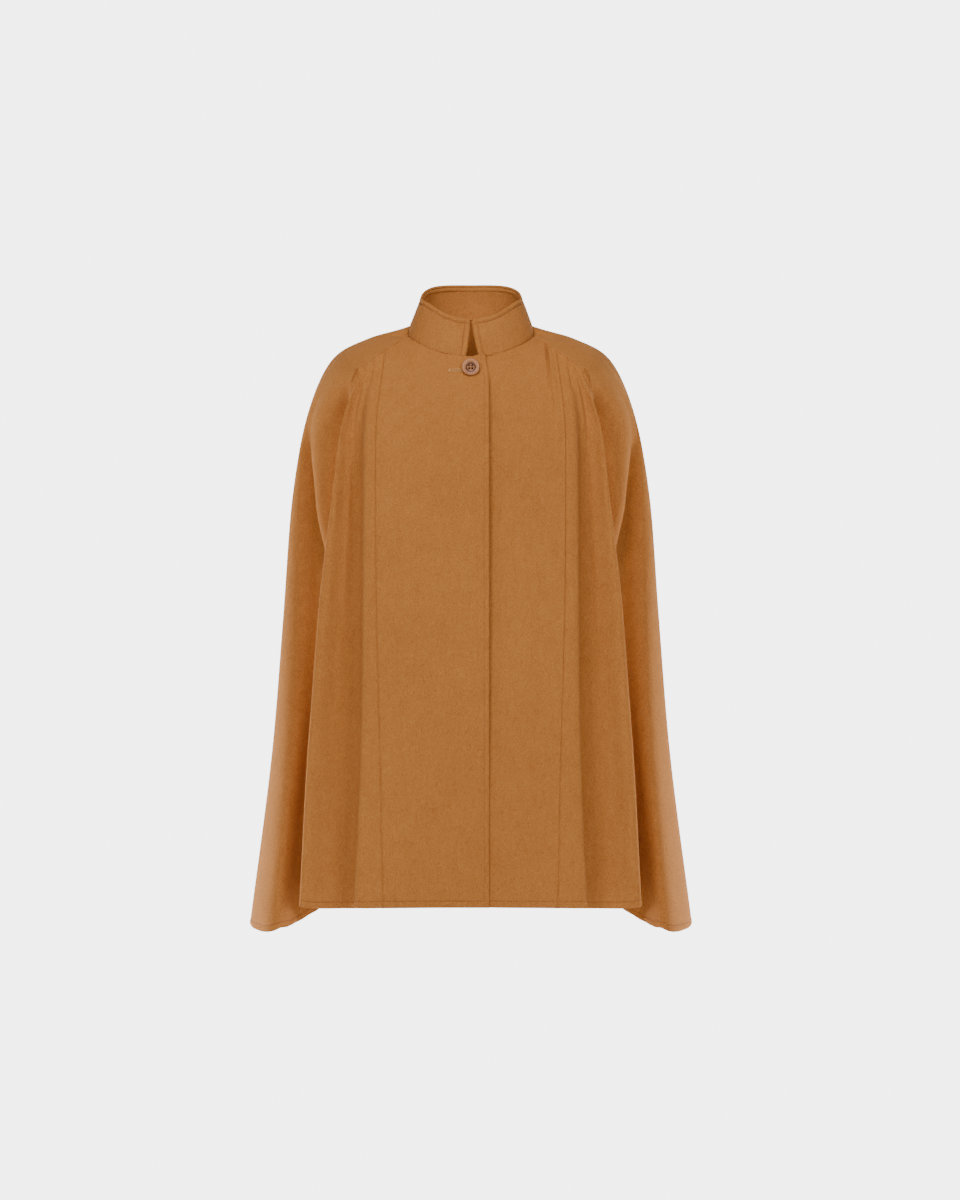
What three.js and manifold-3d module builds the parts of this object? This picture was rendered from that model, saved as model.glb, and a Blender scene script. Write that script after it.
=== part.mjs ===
// A hip-length wool cape as it hangs on a wearer: a stand collar over two fronts that lap at the
// centre, side fronts that hang in folds from a sloping yoke seam, a raglan panel over each shoulder
// and one back panel. Millimetres, +Z up, the front faces -Y, +X is the wearer's left.
// The origin is the middle of the neck opening, level with the shoulder ends of the neck seam.
import * as THREE from "three";
import { mergeVertices } from "three/addons/utils/BufferGeometryUtils.js";
import Module from "manifold-3d";

// Cloth and seams
const CLOTH = 2.4; // the coat cloth
const COLLAR_CLOTH = 3.8; // two layers turned at the edge
const SEAM_GAP = 0.3;
const YOKE_GAP = 0.7; // wider where two panels meet at a slight angle
const YOKE_REACH = 0.2; // how far below the yoke the wider gap is kept, in stations

// Neck seam and collar
const NECK_HALF_WIDTH = 90.5;
const NECK_FRONT = 72;
const NECK_BACK = 66;
const NECK_FRONT_DROP = 38;
const NECK_BACK_RISE = 28;
const SHOULDER_POINT_DEG = 80; // where the yoke seam meets the neck seam, from the centre front
const COLLAR_TOP = { halfWidth: 72, front: 60, back: 60, frontRise: 14, sideRise: 53, backRise: 79 };

// Centre front
const OVERLAP = 26; // each front past the centre line
const OVERLAP_AT_NECK = 21;
const LAP_STEP = CLOTH + 0.7; // how far the under front lies behind the over front
const LAP_EASE = 16; // the width over which the under front comes forward again
const CORNER_RISE = 3; // the over front's top corner stands this far above the neck seam

// The small tuck that starts on the yoke seam of the left front, at this share of the way from the
// shoulder point to the front seam. The cloth towards the centre stands over the cloth beyond it.
const TUCK = { at: 0.5, crest: 1.8, valley: 3.4, half: 0.34, reach: 1.5 };

// Button and buttonhole
const BUTTON = { radius: 12.7, thick: 4.2, rim: 6.2, dish: 1.5, hole: 1.0, pitch: 4.0, drop: 56.5, off: 2.0 };
const SHANK_RADIUS = 1;
const BUTTONHOLE = { inner: -4, outer: 30, half: 2.1, slit: 0.5, thick: 0.9, eye: 2, eyeLength: 9 };

// The yoke seam runs from the shoulder point to the top of the outer front fold.
const YOKE_SEAM = [
  { across: 89.1, forward: 12.5, up: -6.6 },
  { across: 108, forward: 42, up: -17 },
  { across: 134, forward: 66, up: -37 },
  { across: 162, forward: 74, up: -58 },
];

// Heights of the six stations below the yoke, from the yoke's end down to the hem.
const HEIGHTS = {
  front: [-58, -133, -243, -408, -600, -800],
  side: [-38, -124, -237, -410, -608, -843],
  back: [-60, -140, -245, -410, -605, -832],
};

// Fold lines of one half from the centre front outwards. A line starts on the neck seam at `neck`
// degrees or on the yoke seam at the share `yoke`, and then passes through the five lower stations:
// armpit, chest, waist, hip and hem. `side` is its share of the way from front to side heights, and
// `crown` is how far it bulges over the collarbone above the armpit.
const FRONT_LINES = [
  { name: "centre front", neck: 0, side: 0,
    across: [0, 0, 0, 0, 0], forward: [126, 152, 165, 175, 185] },
  { name: "front body", neck: 30, side: 0, crown: 1,
    across: [38, 39, 38, 37, 36], forward: [126, 152, 165, 175, 185] },
  { name: "under the collar", neck: 58, side: 0, crown: 7,
    across: [72, 74, 71, 68, 64], forward: [125, 151, 164, 175, 186] },
  { name: "shoulder point", neck: SHOULDER_POINT_DEG, side: 0, crown: 26, corner: true,
    across: [95, 97, 93, 88, 83], forward: [121, 148, 163, 175, 187] },
  { name: "front seam", yoke: 0.5, side: 0, crown: 4,
    across: [131.5, 131.7, 129.7, 124, 119.6], forward: [117, 143, 159, 174, 189] },
  { name: "inner fold crest", yoke: 0.66, side: 0,
    across: [145, 147, 147.5, 150, 158], forward: [113, 138, 154, 169, 187] },
  { name: "inner fold valley", yoke: 0.73, side: 0,
    across: [153, 155, 154.5, 154, 157], forward: [101, 121, 135, 146, 159] },
  { name: "between the folds", yoke: 0.8, side: 0,
    across: [165, 171, 178, 187, 195], forward: [98, 117, 131, 143, 155] },
  { name: "outer fold crest", yoke: 0.87, side: 0,
    across: [179.5, 193, 211, 226, 236], forward: [98, 116, 128, 140, 152] },
  { name: "behind the crest", yoke: 0.94, side: 0.05,
    across: [178, 190, 206, 219, 228], forward: [80, 90, 100, 111, 123] },
  { name: "raglan seam", yoke: 1, side: 0.25,
    across: [177, 186, 194, 203, 211], forward: [60, 63, 70, 74, 82] },
];

// Lines over the shoulder. `neck` is on the neck seam, `shoulder` and `yoke` are the stations on top of
// the shoulder and level with the yoke's end, and the five lower stations follow.
const SHOULDER_LINES = [
  { name: "upper arm front", neck: 85, side: 0.5,
    shoulder: { across: 135, forward: 31, up: -16 }, yoke: { across: 185, forward: 44, up: -53 },
    across: [228, 224, 203, 210, 224], forward: [10, 20, 58, 68, 74] },
  { name: "behind the arm", neck: 90, side: 0.7,
    shoulder: { across: 143, forward: 13, up: -10 }, yoke: { across: 196, forward: 20, up: -46 },
    across: [235, 222, 219, 227, 246], forward: [-3, -6, 40, 66, 83] },
  { name: "outer fold front", neck: 95, side: 0.95,
    shoulder: { across: 148, forward: 0, up: -6.5 }, yoke: { across: 201, forward: 2, up: -41 },
    across: [238, 248, 250, 255, 273], forward: [-10, -8, 34, 72, 106] },
  { name: "side", neck: 101, side: 1,
    shoulder: { across: 151, forward: -14, up: -5 }, yoke: { across: 203.5, forward: -14, up: -38 },
    across: [239, 259, 269, 282, 309], forward: [-18, -26, 3, 30, 50] },
];

// The back half runs from the side to the centre back on rounded sections: how far the centre back
// stands behind the origin, and its height, at the neck, the shoulder and the six lower stations.
const BACK_STATIONS = [
  { name: "neck", behind: NECK_BACK, up: NECK_BACK_RISE },
  { name: "shoulder", behind: 92, up: -8 },
  { name: "yoke", behind: 116, up: HEIGHTS.back[0] },
  { name: "armpit", behind: 131, up: HEIGHTS.back[1] },
  { name: "chest", behind: 141, up: HEIGHTS.back[2] },
  { name: "waist", behind: 149, up: HEIGHTS.back[3] },
  { name: "hip", behind: 162, up: HEIGHTS.back[4] },
  { name: "hem", behind: 184, up: HEIGHTS.back[5] },
];
const BACK_ROUNDNESS = 2.3; // the exponent of the rounded section, 2 for an ellipse
const BACK_FOLDS_FROM = 1.2; // the folds start below this station
// Folds of the back, by their place round from the side (0) to the centre back (90 degrees) and how far
// they stand out (+) or in (-) at the hem.
const BACK_FOLDS = [
  { name: "side back crest", around: 12, stand: 10 },
  { name: "back seam", around: 25, stand: -20 },
  { name: "blade valley edge", around: 35, stand: -16 },
  { name: "blade crest", around: 45, stand: 22 },
  { name: "blade valley", around: 55, stand: -12 },
  { name: "inner crest", around: 66, stand: 15 },
  { name: "inner valley", around: 78, stand: -15 },
  { name: "centre back", around: 90, stand: 6 },
];

const NECK_STATION = -2;
const HEM_STATION = 5;
const UP = new THREE.Vector3(0, 0, 1);
const TURNED_ABOUT = new THREE.Vector3(0, 1, 0); // the axis of a lathe or cylinder before it is placed

const lerp = THREE.MathUtils.lerp;
const radians = THREE.MathUtils.degToRad;
const ease = (x) => THREE.MathUtils.smoothstep(x, 0, 1);

// A point of the neck seam, `deg` round from the centre front.
function neckPoint(deg) {
  const c = Math.cos(radians(deg));
  const reach = c > 0 ? NECK_FRONT : NECK_BACK;
  const up = c > 0 ? -(18 * c + (NECK_FRONT_DROP - 18) * c * c) : NECK_BACK_RISE * Math.sqrt(-c);
  return new THREE.Vector3(NECK_HALF_WIDTH * Math.sin(radians(deg)), -reach * c, up);
}

// A point of the collar's top edge.
function collarTopPoint(deg) {
  const c = Math.cos(radians(deg));
  const s = Math.sin(radians(deg));
  const { halfWidth, front, back, frontRise, sideRise, backRise } = COLLAR_TOP;
  const up = c > 0
    ? sideRise - (sideRise - frontRise) * Math.pow(1 - s, 0.7)
    : sideRise + (backRise - sideRise) * Math.sqrt(-c);
  return new THREE.Vector3(halfWidth * s, -(c > 0 ? front : back) * c, up);
}

const toPoint = ({ across, forward, up }) => new THREE.Vector3(across, -forward, up);

// The value of a smooth curve through `points` at the fractional index `at`.
function along(points, at) {
  const last = points.length - 1;
  const i = Math.min(Math.max(Math.floor(at), 0), last - 1);
  const f = at - i;
  const p1 = points[i];
  const p2 = points[i + 1];
  const slope = (k) => {
    if (k === 0) return points[1].clone().sub(points[0]);
    if (k === last) return points[last].clone().sub(points[last - 1]);
    return points[k + 1].clone().sub(points[k - 1]).multiplyScalar(0.5);
  };
  return hermite(p1, p2, slope(i), slope(i + 1), f);
}

function hermite(p1, p2, m1, m2, f) {
  const f2 = f * f;
  const f3 = f2 * f;
  return p1.clone().multiplyScalar(2 * f3 - 3 * f2 + 1)
    .addScaledVector(m1, f3 - 2 * f2 + f)
    .addScaledVector(p2, -2 * f3 + 3 * f2)
    .addScaledVector(m2, f3 - f2);
}

const yokePoints = YOKE_SEAM.map(toPoint);
const yokeSeam = (share) => along(yokePoints, share * (YOKE_SEAM.length - 1));

const heightAt = (station, side) => lerp(HEIGHTS.front[station], HEIGHTS.side[station], side);

function lowerPoints(line) {
  return line.across.map((across, k) =>
    new THREE.Vector3(across, -line.forward[k], heightAt(k + 1, line.side)));
}

const CROWN_WAY = new THREE.Vector3(0, -0.85, 0.5);

// Every line becomes a function from the station to a point. Front lines start at station 0.
function frontLine(line) {
  const top = line.yoke === undefined ? neckPoint(line.neck) : yokeSeam(line.yoke);
  const points = [top, ...lowerPoints(line)];
  const at = (station) => {
    const share = Math.min(Math.max(station, 0), 1);
    return along(points, station).addScaledVector(CROWN_WAY, (line.crown ?? 0) * 4 * share * (1 - share) ** 2);
  };
  return { ...line, at };
}

function raglanSeam(line) {
  const points = [yokeSeam(0), yokeSeam(0.5), yokeSeam(1), ...lowerPoints(line)];
  const at = (station) => (station < 0 ? yokeSeam(1 + station / 2) : along(points, station + 2));
  return { name: line.name, neck: SHOULDER_POINT_DEG, corner: true, at };
}

function shoulderLine(line) {
  const points = [neckPoint(line.neck), toPoint(line.shoulder), toPoint(line.yoke), ...lowerPoints(line)];
  return { name: line.name, neck: line.neck, at: (station) => along(points, station + 2) };
}

const sideLine = SHOULDER_LINES[SHOULDER_LINES.length - 1];

function backLine(fold) {
  const psi = radians(fold.around);
  const share = Math.sin(psi) ** 2;
  const roundX = Math.pow(Math.cos(psi), 2 / BACK_ROUNDNESS);
  const roundY = Math.pow(Math.sin(psi), 2 / BACK_ROUNDNESS);
  const sideAt = shoulderLine(sideLine).at;
  const neck = lerp(sideLine.neck, 180, fold.around / 90);
  const points = BACK_STATIONS.map((row, k) => {
    if (k === 0) return neckPoint(neck);
    const side = sideAt(k + NECK_STATION);
    const grown = Math.max(0, (k + NECK_STATION - BACK_FOLDS_FROM) / (HEM_STATION - BACK_FOLDS_FROM));
    const stand = fold.stand * Math.pow(grown, 1.3);
    return new THREE.Vector3(
      side.x * roundX + stand * Math.cos(psi) * (fold.around < 90 ? 1 : 0),
      lerp(side.y, row.behind, roundY) + stand * Math.sin(psi),
      lerp(side.z, row.up, share),
    );
  });
  return { name: fold.name, neck, at: (station) => along(points, station + 2) };
}

const LINES = [
  ...FRONT_LINES.slice(0, -1).map(frontLine),
  raglanSeam(FRONT_LINES[FRONT_LINES.length - 1]),
  ...SHOULDER_LINES.map(shoulderLine),
  ...BACK_FOLDS.map(backLine),
];
const lineIndex = (name) => LINES.findIndex((line) => line.name === name);
const FRONT_SEAM = lineIndex("front seam");
const SHOULDER_POINT = lineIndex("shoulder point");
const RAGLAN_SEAM = lineIndex("raglan seam");
const BACK_SEAM = lineIndex("back seam");
const CENTRE_BACK = lineIndex("centre back");

const mirrored = (p) => new THREE.Vector3(-p.x, p.y, p.z);

// A line of the half, or its mirror image past the centre front or the centre back.
function linePoint(k, station) {
  if (k < 0) return mirrored(LINES[-k].at(station));
  if (k > CENTRE_BACK) return mirrored(LINES[2 * CENTRE_BACK - k].at(station));
  return LINES[k].at(station);
}

// The cloth's outer face: `u` counts lines round from the centre front, `station` goes down.
// Above the yoke's end only the raglan seam and what lies beyond it exist.
function surface(u, station) {
  const i = Math.floor(u);
  const first = station < 0 ? RAGLAN_SEAM : -CENTRE_BACK;
  const p1 = linePoint(i, station);
  const p2 = linePoint(i + 1, station);
  const gap = Math.sqrt(p1.distanceTo(p2));
  const slope = (k) => {
    const here = linePoint(k, station);
    const after = linePoint(k + 1, station);
    const outgoing = after.clone().sub(here).divideScalar(Math.sqrt(after.distanceTo(here)));
    if (k <= first) return outgoing;
    const before = linePoint(k - 1, station);
    const incoming = here.clone().sub(before).divideScalar(Math.sqrt(here.distanceTo(before)));
    const d0 = Math.sqrt(here.distanceTo(before));
    const d1 = Math.sqrt(after.distanceTo(here));
    const smooth = incoming.clone().multiplyScalar(d1).addScaledVector(outgoing, d0).divideScalar(d0 + d1);
    const turned = LINES[Math.abs(k)] && LINES[Math.abs(k)].corner ? 1 - ease(station) : 0;
    return smooth.lerp(k === i ? outgoing : incoming, turned);
  };
  return hermite(p1, p2, slope(i).multiplyScalar(gap), slope(i + 1).multiplyScalar(gap), u - i);
}

const NUDGE = 0.02;

// The outward normal, by differences taken inside the panel's own range of u and station.
function normalAt(u, station, range) {
  const [uLow, uHigh] = range.u;
  const [sLow, sHigh] = range.station;
  const round = surface(Math.min(u + NUDGE, uHigh), station)
    .sub(surface(Math.max(u - NUDGE, uLow), station));
  const down = surface(u, Math.min(station + NUDGE, sHigh))
    .sub(surface(u, Math.max(station - NUDGE, sLow)));
  return round.cross(down).negate().normalize();
}

// How far along the yoke seam a front's column starts, 0 at the shoulder point and 1 at the fold.
function yokeShareAt(u) {
  const i = Math.min(Math.floor(u), RAGLAN_SEAM - 1);
  const share = (k) => FRONT_LINES[k].yoke ?? 0;
  return lerp(share(i), share(i + 1), u - i);
}

function uAtYokeShare(share) {
  let low = SHOULDER_POINT;
  let high = RAGLAN_SEAM;
  for (let step = 0; step < 30; step++) {
    const middle = (low + high) / 2;
    if (yokeShareAt(middle) < share) low = middle;
    else high = middle;
  }
  return low;
}

// Both panels that meet at the yoke seam turn their thickness along one shared direction there.
function yokeNormal(share) {
  const below = normalAt(uAtYokeShare(share), 0, { u: [SHOULDER_POINT, RAGLAN_SEAM], station: [0, 1] });
  const above = normalAt(RAGLAN_SEAM, NECK_STATION * (1 - share),
    { u: [RAGLAN_SEAM, RAGLAN_SEAM + 1], station: [NECK_STATION, 0] });
  return below.add(above).normalize();
}

// A point of a front that starts on the yoke seam. `column` is the seam's own line where `u` is moved
// off it, so that both panels turn their thickness alike there.
function underYoke(column, u, station, range) {
  if (station > 0) return { p: surface(u, station), n: normalAt(column, station, range) };
  const seam = yokeSeam(yokeShareAt(u));
  const down = surface(u, NUDGE).sub(surface(u, 0)).normalize();
  return { p: seam.addScaledVector(down, YOKE_GAP / 2), n: yokeNormal(yokeShareAt(column)) };
}

// The top row of a panel lies on the neck seam itself, let down by half the seam's gap.
function underNeck(column, n, station) {
  const k = Math.min(Math.floor(Math.abs(column)), CENTRE_BACK - 1);
  const half = column > CENTRE_BACK ? 2 * CENTRE_BACK - column : Math.abs(column);
  const i = Math.min(Math.floor(half), k);
  const foot = neckPoint(lerp(LINES[i].neck, LINES[i + 1].neck, half - i));
  const down = surface(column, station + NUDGE).sub(surface(column, station)).normalize();
  const placed = column > CENTRE_BACK || column < 0 ? mirrored(foot) : foot;
  return { p: placed.addScaledVector(down, SEAM_GAP / 2), n };
}

const side = (p, hand) => (hand < 0 ? mirrored(p) : p);

// A closed wall from a grid of outer points and normals: grid[i][j] = { p, n }.
function wall(grid, thick) {
  const columns = grid.length;
  const rows = grid[0].length;
  const points = [];
  grid.forEach((column) => column.forEach(({ p }) => points.push(p)));
  grid.forEach((column) => column.forEach(({ p, n }) => points.push(p.clone().addScaledVector(n, -thick))));
  const inner = columns * rows;
  const at = (i, j) => i * rows + j;
  const index = [];
  const quad = (a, b, c, d) => index.push(a, b, c, a, c, d);
  for (let i = 0; i < columns - 1; i++) {
    for (let j = 0; j < rows - 1; j++) {
      quad(at(i, j), at(i, j + 1), at(i + 1, j + 1), at(i + 1, j));
      quad(inner + at(i, j), inner + at(i + 1, j), inner + at(i + 1, j + 1), inner + at(i, j + 1));
    }
    quad(at(i, 0), at(i + 1, 0), inner + at(i + 1, 0), inner + at(i, 0));
    const end = rows - 1;
    quad(at(i + 1, end), at(i, end), inner + at(i, end), inner + at(i + 1, end));
  }
  for (let j = 0; j < rows - 1; j++) {
    quad(at(0, j + 1), at(0, j), inner + at(0, j), inner + at(0, j + 1));
    const end = columns - 1;
    quad(at(end, j + 1), inner + at(end, j + 1), inner + at(end, j), at(end, j));
  }
  const geometry = new THREE.BufferGeometry();
  geometry.setAttribute("position", new THREE.Float32BufferAttribute(points.flatMap((p) => p.toArray()), 3));
  geometry.setIndex(index);
  return geometry;
}

// A grid of the wearer's left half; for the right half its points are mirrored and its order reversed.
function handed(grid, hand) {
  const turned = grid.map((column) => column.map(({ p, n }) => ({ p: side(p, hand), n: side(n, hand) })));
  return hand < 0 ? turned.reverse() : turned;
}

const wool = new THREE.MeshStandardMaterial({ color: 0xb0733c, roughness: 0.95, metalness: 0 });
const horn = new THREE.MeshStandardMaterial({ color: 0xb98463, roughness: 0.4, metalness: 0 });
const thread = new THREE.MeshStandardMaterial({ color: 0xb9804a, roughness: 0.9, metalness: 0 });

function piece(name, geometry, material) {
  const mesh = new THREE.Mesh(geometry, material.clone());
  mesh.name = name;
  mesh.geometry.computeVertexNormals();
  return mesh;
}

// Stations of the rows below the yoke, closer together where the cloth leaves the seam.
const ROWS = [0, 0.14, 0.32, 0.55, 0.8, 1.1, 1.45, 1.8, 2.2, 2.6, 3.0, 3.4, 3.8, 4.2, 4.6, 5];

// Columns between two lines, with `per` steps to each stretch.
function columnsBetween(from, to, per) {
  const steps = [];
  for (let k = from; k < to; k++) {
    for (let s = 0; s < per(k); s++) steps.push(k + s / per(k));
  }
  return [...steps, to];
}

const stepLength = (u, station, du, dStation) =>
  surface(u + du, station + dStation).distanceTo(surface(u, station)) / (Math.abs(du) + Math.abs(dStation));

// Where a panel's edge column lies: moved off the seam's line by half the seam's gap, forwards (+1) or
// back (-1) round the body. The gap is wider near the yoke, where seams meet at an angle.
function offSeam(column, station, way) {
  const gap = station > YOKE_REACH || column === BACK_SEAM ? SEAM_GAP : YOKE_GAP;
  return column + way * gap / 2 / stepLength(column, station, way * NUDGE, 0);
}

function uAtAcross(across, station) {
  let low = 0;
  let high = SHOULDER_POINT;
  for (let step = 0; step < 30; step++) {
    const middle = (low + high) / 2;
    if (surface(middle, station).x < across) low = middle;
    else high = middle;
  }
  return low;
}

const overlapAt = (station) => lerp(OVERLAP_AT_NECK, OVERLAP, ease(station * 2.5));

// How far the tuck lifts the cloth at a share of the way across: a crest, and a valley beside it.
function tuckHeight(share, station) {
  const off = (share - TUCK.at) / TUCK.half;
  if (Math.abs(off) > 1 || station <= 0) return 0;
  const bell = (1 - off * off) ** 2;
  const fade = ease(station * 4) * (1 - ease(station / TUCK.reach));
  return bell * fade * (off < 0 ? TUCK.crest : -TUCK.valley) * ease(Math.abs(off) * 3);
}

// A front between its lapped edge and the front seam. `over` is the front with the buttonhole.
const FRONT_EDGE_COLUMNS = 4;
function centreFront(over) {
  const body = columnsBetween(0, FRONT_SEAM, (k) => (k < SHOULDER_POINT ? 3 : 8));
  const lap = Array.from({ length: FRONT_EDGE_COLUMNS }, (_, k) => 1 - k / FRONT_EDGE_COLUMNS);
  const range = { u: [-2, FRONT_SEAM + 1], station: [0, HEM_STATION] };
  const place = (u, station, edge) => {
    const n = normalAt(u, station, range);
    const { p } = station > 0 ? { p: surface(u, station) } : underNeck(u, n, station);
    if (over) {
      const rise = CORNER_RISE * Math.max(0, edge) * (1 - ease(station * 4));
      return { p: p.addScaledVector(UP, rise), n };
    }
    const under = LAP_STEP * (1 - ease((p.x - OVERLAP - 3) / LAP_EASE));
    return { p: p.addScaledVector(n, -under), n };
  };
  const tucked = (column, u, station) => {
    const { p, n } = underYoke(column, u, station, range);
    const raised = over ? 0 : tuckHeight(column - SHOULDER_POINT, station);
    return { p: p.addScaledVector(n, raised), n };
  };
  const grid = [];
  for (const share of lap) {
    grid.push(ROWS.map((station) =>
      place(-share * uAtAcross(overlapAt(station), station), station, share)));
  }
  for (const column of body) {
    grid.push(ROWS.map((station) => {
      const u = column === FRONT_SEAM ? offSeam(column, station, -1) : column;
      return column < SHOULDER_POINT ? place(u, station, 0) : tucked(column, u, station);
    }));
  }
  return handed(grid, over ? -1 : 1);
}

function sideFront(hand) {
  const range = { u: [FRONT_SEAM - 1, RAGLAN_SEAM + 1], station: [0, HEM_STATION] };
  const columns = columnsBetween(FRONT_SEAM, RAGLAN_SEAM, (k) => (k < RAGLAN_SEAM - 1 ? 4 : 2));
  const grid = columns.map((column) => ROWS.map((station) => {
    let u = column;
    if (column === FRONT_SEAM) u = offSeam(column, station, 1);
    if (column === RAGLAN_SEAM) u = offSeam(column, station, -1);
    return underYoke(column, u, station, range);
  }));
  return handed(grid, hand);
}

// Rows of the panels that start at the neck: down the yoke seam, then as the fronts.
const YOKE_ROWS = [-2, -1.8, -1.55, -1.3, -1.05, -0.8, -0.55, -0.3];
const LONG_ROWS = [...YOKE_ROWS, ...ROWS];

function raglanPanel(hand) {
  const grid = columnsBetween(RAGLAN_SEAM, BACK_SEAM, () => 4).map((column) => LONG_ROWS.map((station) => {
    const onYoke = column === RAGLAN_SEAM && station <= 0;
    const range = {
      u: [station < 0 ? RAGLAN_SEAM : RAGLAN_SEAM - 1, BACK_SEAM + 1],
      station: station < 0 ? [NECK_STATION, 0] : [0, HEM_STATION],
    };
    let u = column;
    if (column === RAGLAN_SEAM) u = offSeam(column, station, 1);
    if (column === BACK_SEAM) u = offSeam(column, station, -1);
    const n = onYoke ? yokeNormal(1 - station / NECK_STATION) : normalAt(column, station, range);
    if (station === NECK_STATION && !onYoke) return underNeck(u, n, station);
    return { p: surface(u, station), n };
  }));
  return handed(grid, hand);
}

function backPanel() {
  const range = { u: [BACK_SEAM - 1, 2 * CENTRE_BACK - BACK_SEAM + 1], station: [NECK_STATION, HEM_STATION] };
  const far = 2 * CENTRE_BACK - BACK_SEAM;
  return columnsBetween(BACK_SEAM, far, () => 3).map((column) => LONG_ROWS.map((station) => {
    let u = column;
    if (column === BACK_SEAM) u = offSeam(column, station, 1);
    if (column === far) u = 2 * CENTRE_BACK - offSeam(BACK_SEAM, station, 1);
    const n = normalAt(column, station, range);
    return station === NECK_STATION ? underNeck(u, n, station) : { p: surface(u, station), n };
  }));
}

// The collar's two ends meet at the top and part below it, and both stand just clear of the lap.
const COLLAR_ENDS = {
  left: { top: 0.6, bottom: 13 },
  right: { top: -0.6, bottom: -7 },
};
const COLLAR_ROWS = [0, 0.2, 0.4, 0.6, 0.8, 0.93, 1];
const COLLAR_COLUMNS = 60;
const COLLAR_BELLY = 0.4; // how far the collar bows out between its edges

function collar() {
  const endDegrees = ({ top, bottom }, v) => {
    const across = lerp(bottom, top, Math.pow(v, 0.6));
    return THREE.MathUtils.radToDeg(Math.asin(across / lerp(NECK_HALF_WIDTH, COLLAR_TOP.halfWidth, v)));
  };
  const place = (c, v) => {
    const deg = lerp(endDegrees(COLLAR_ENDS.left, v), 360 + endDegrees(COLLAR_ENDS.right, v), c);
    const half = deg > 180 ? 360 - deg : deg;
    const hand = deg > 180 ? -1 : 1;
    const p = side(neckPoint(Math.abs(half)).lerp(collarTopPoint(Math.abs(half)), v), half < 0 ? -hand : hand);
    const outward = new THREE.Vector3(p.x / NECK_HALF_WIDTH, p.y / NECK_FRONT, 0).normalize();
    const under = hand > 0 ? LAP_STEP * (1 - ease((p.x - OVERLAP - 3) / LAP_EASE)) * (1 - ease(v * 1.6)) : 0;
    return p.addScaledVector(outward, COLLAR_BELLY * 4 * v * (1 - v) - under).addScaledVector(UP, SEAM_GAP);
  };
  const grid = [];
  for (let k = 0; k <= COLLAR_COLUMNS; k++) {
    const c = k / COLLAR_COLUMNS;
    grid.push(COLLAR_ROWS.map((v) => {
      const round = place(Math.min(c + 0.004, 1), v).sub(place(Math.max(c - 0.004, 0), v));
      const upward = place(c, Math.min(v + 0.02, 1)).sub(place(c, Math.max(v - 0.02, 0)));
      const n = round.cross(upward);
      n.z *= v; // the lower edge is cut level, so that it sits on the neck seam
      return { p: place(c, v), n: n.normalize() };
    }));
  }
  return wall(grid.map((column) => column.slice().reverse()), COLLAR_CLOTH);
}

const wasm = await Module();
wasm.setup();

function solidOf(geometry) {
  const bare = geometry.index ? geometry.toNonIndexed() : geometry.clone();
  bare.deleteAttribute("normal");
  bare.deleteAttribute("uv");
  const merged = mergeVertices(bare, 1e-4);
  return new wasm.Manifold(new wasm.Mesh({
    numProp: 3,
    vertProperties: merged.attributes.position.array,
    triVerts: new Uint32Array(merged.index.array),
  }));
}

function geometryOf(solid) {
  const mesh = solid.getMesh();
  const geometry = new THREE.BufferGeometry();
  geometry.setAttribute("position", new THREE.Float32BufferAttribute(mesh.vertProperties, 3));
  geometry.setIndex(Array.from(mesh.triVerts));
  return geometry;
}

// The station at which the centre front has dropped to a height.
function stationAtDrop(drop) {
  let low = 0;
  let high = 2;
  for (let step = 0; step < 30; step++) {
    const middle = (low + high) / 2;
    if (surface(0, middle).z > -drop) low = middle;
    else high = middle;
  }
  return low;
}

const buttonStation = stationAtDrop(BUTTON.drop);
const buttonFoot = surface(0, buttonStation);
const buttonNormal = normalAt(0, buttonStation, { u: [-1, 1], station: [0, HEM_STATION] });
const buttonTurn = new THREE.Quaternion().setFromUnitVectors(TURNED_ABOUT, buttonNormal);

const onButtonAxis = (height) => buttonFoot.clone().addScaledVector(buttonNormal, height);

function buttonGeometry() {
  const { radius, thick, rim, dish, hole, pitch } = BUTTON;
  const round = 0.9;
  const profile = [
    new THREE.Vector2(0, 0),
    new THREE.Vector2(radius - 2.2, 0),
    new THREE.Vector2(radius - 0.5, 1.2),
    new THREE.Vector2(radius, 2.3),
    new THREE.Vector2(radius - round * 0.5, thick - round * 0.4),
    new THREE.Vector2(radius - round * 1.8, thick),
    new THREE.Vector2(rim + 1.2, thick - 0.3),
    new THREE.Vector2(rim, thick - dish),
    new THREE.Vector2(0, thick - dish + 0.2),
  ];
  let solid = solidOf(new THREE.LatheGeometry(profile, 36));
  for (const x of [-pitch / 2, pitch / 2]) {
    for (const y of [-pitch / 2, pitch / 2]) {
      const drill = new THREE.CylinderGeometry(hole, hole, 3 * thick, 12);
      drill.translate(x, 0, y);
      solid = solid.subtract(solidOf(drill));
    }
  }
  return geometryOf(solid);
}

function onButton(mesh, height) {
  mesh.quaternion.copy(buttonTurn);
  mesh.position.copy(onButtonAxis(height));
  return mesh;
}

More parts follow.
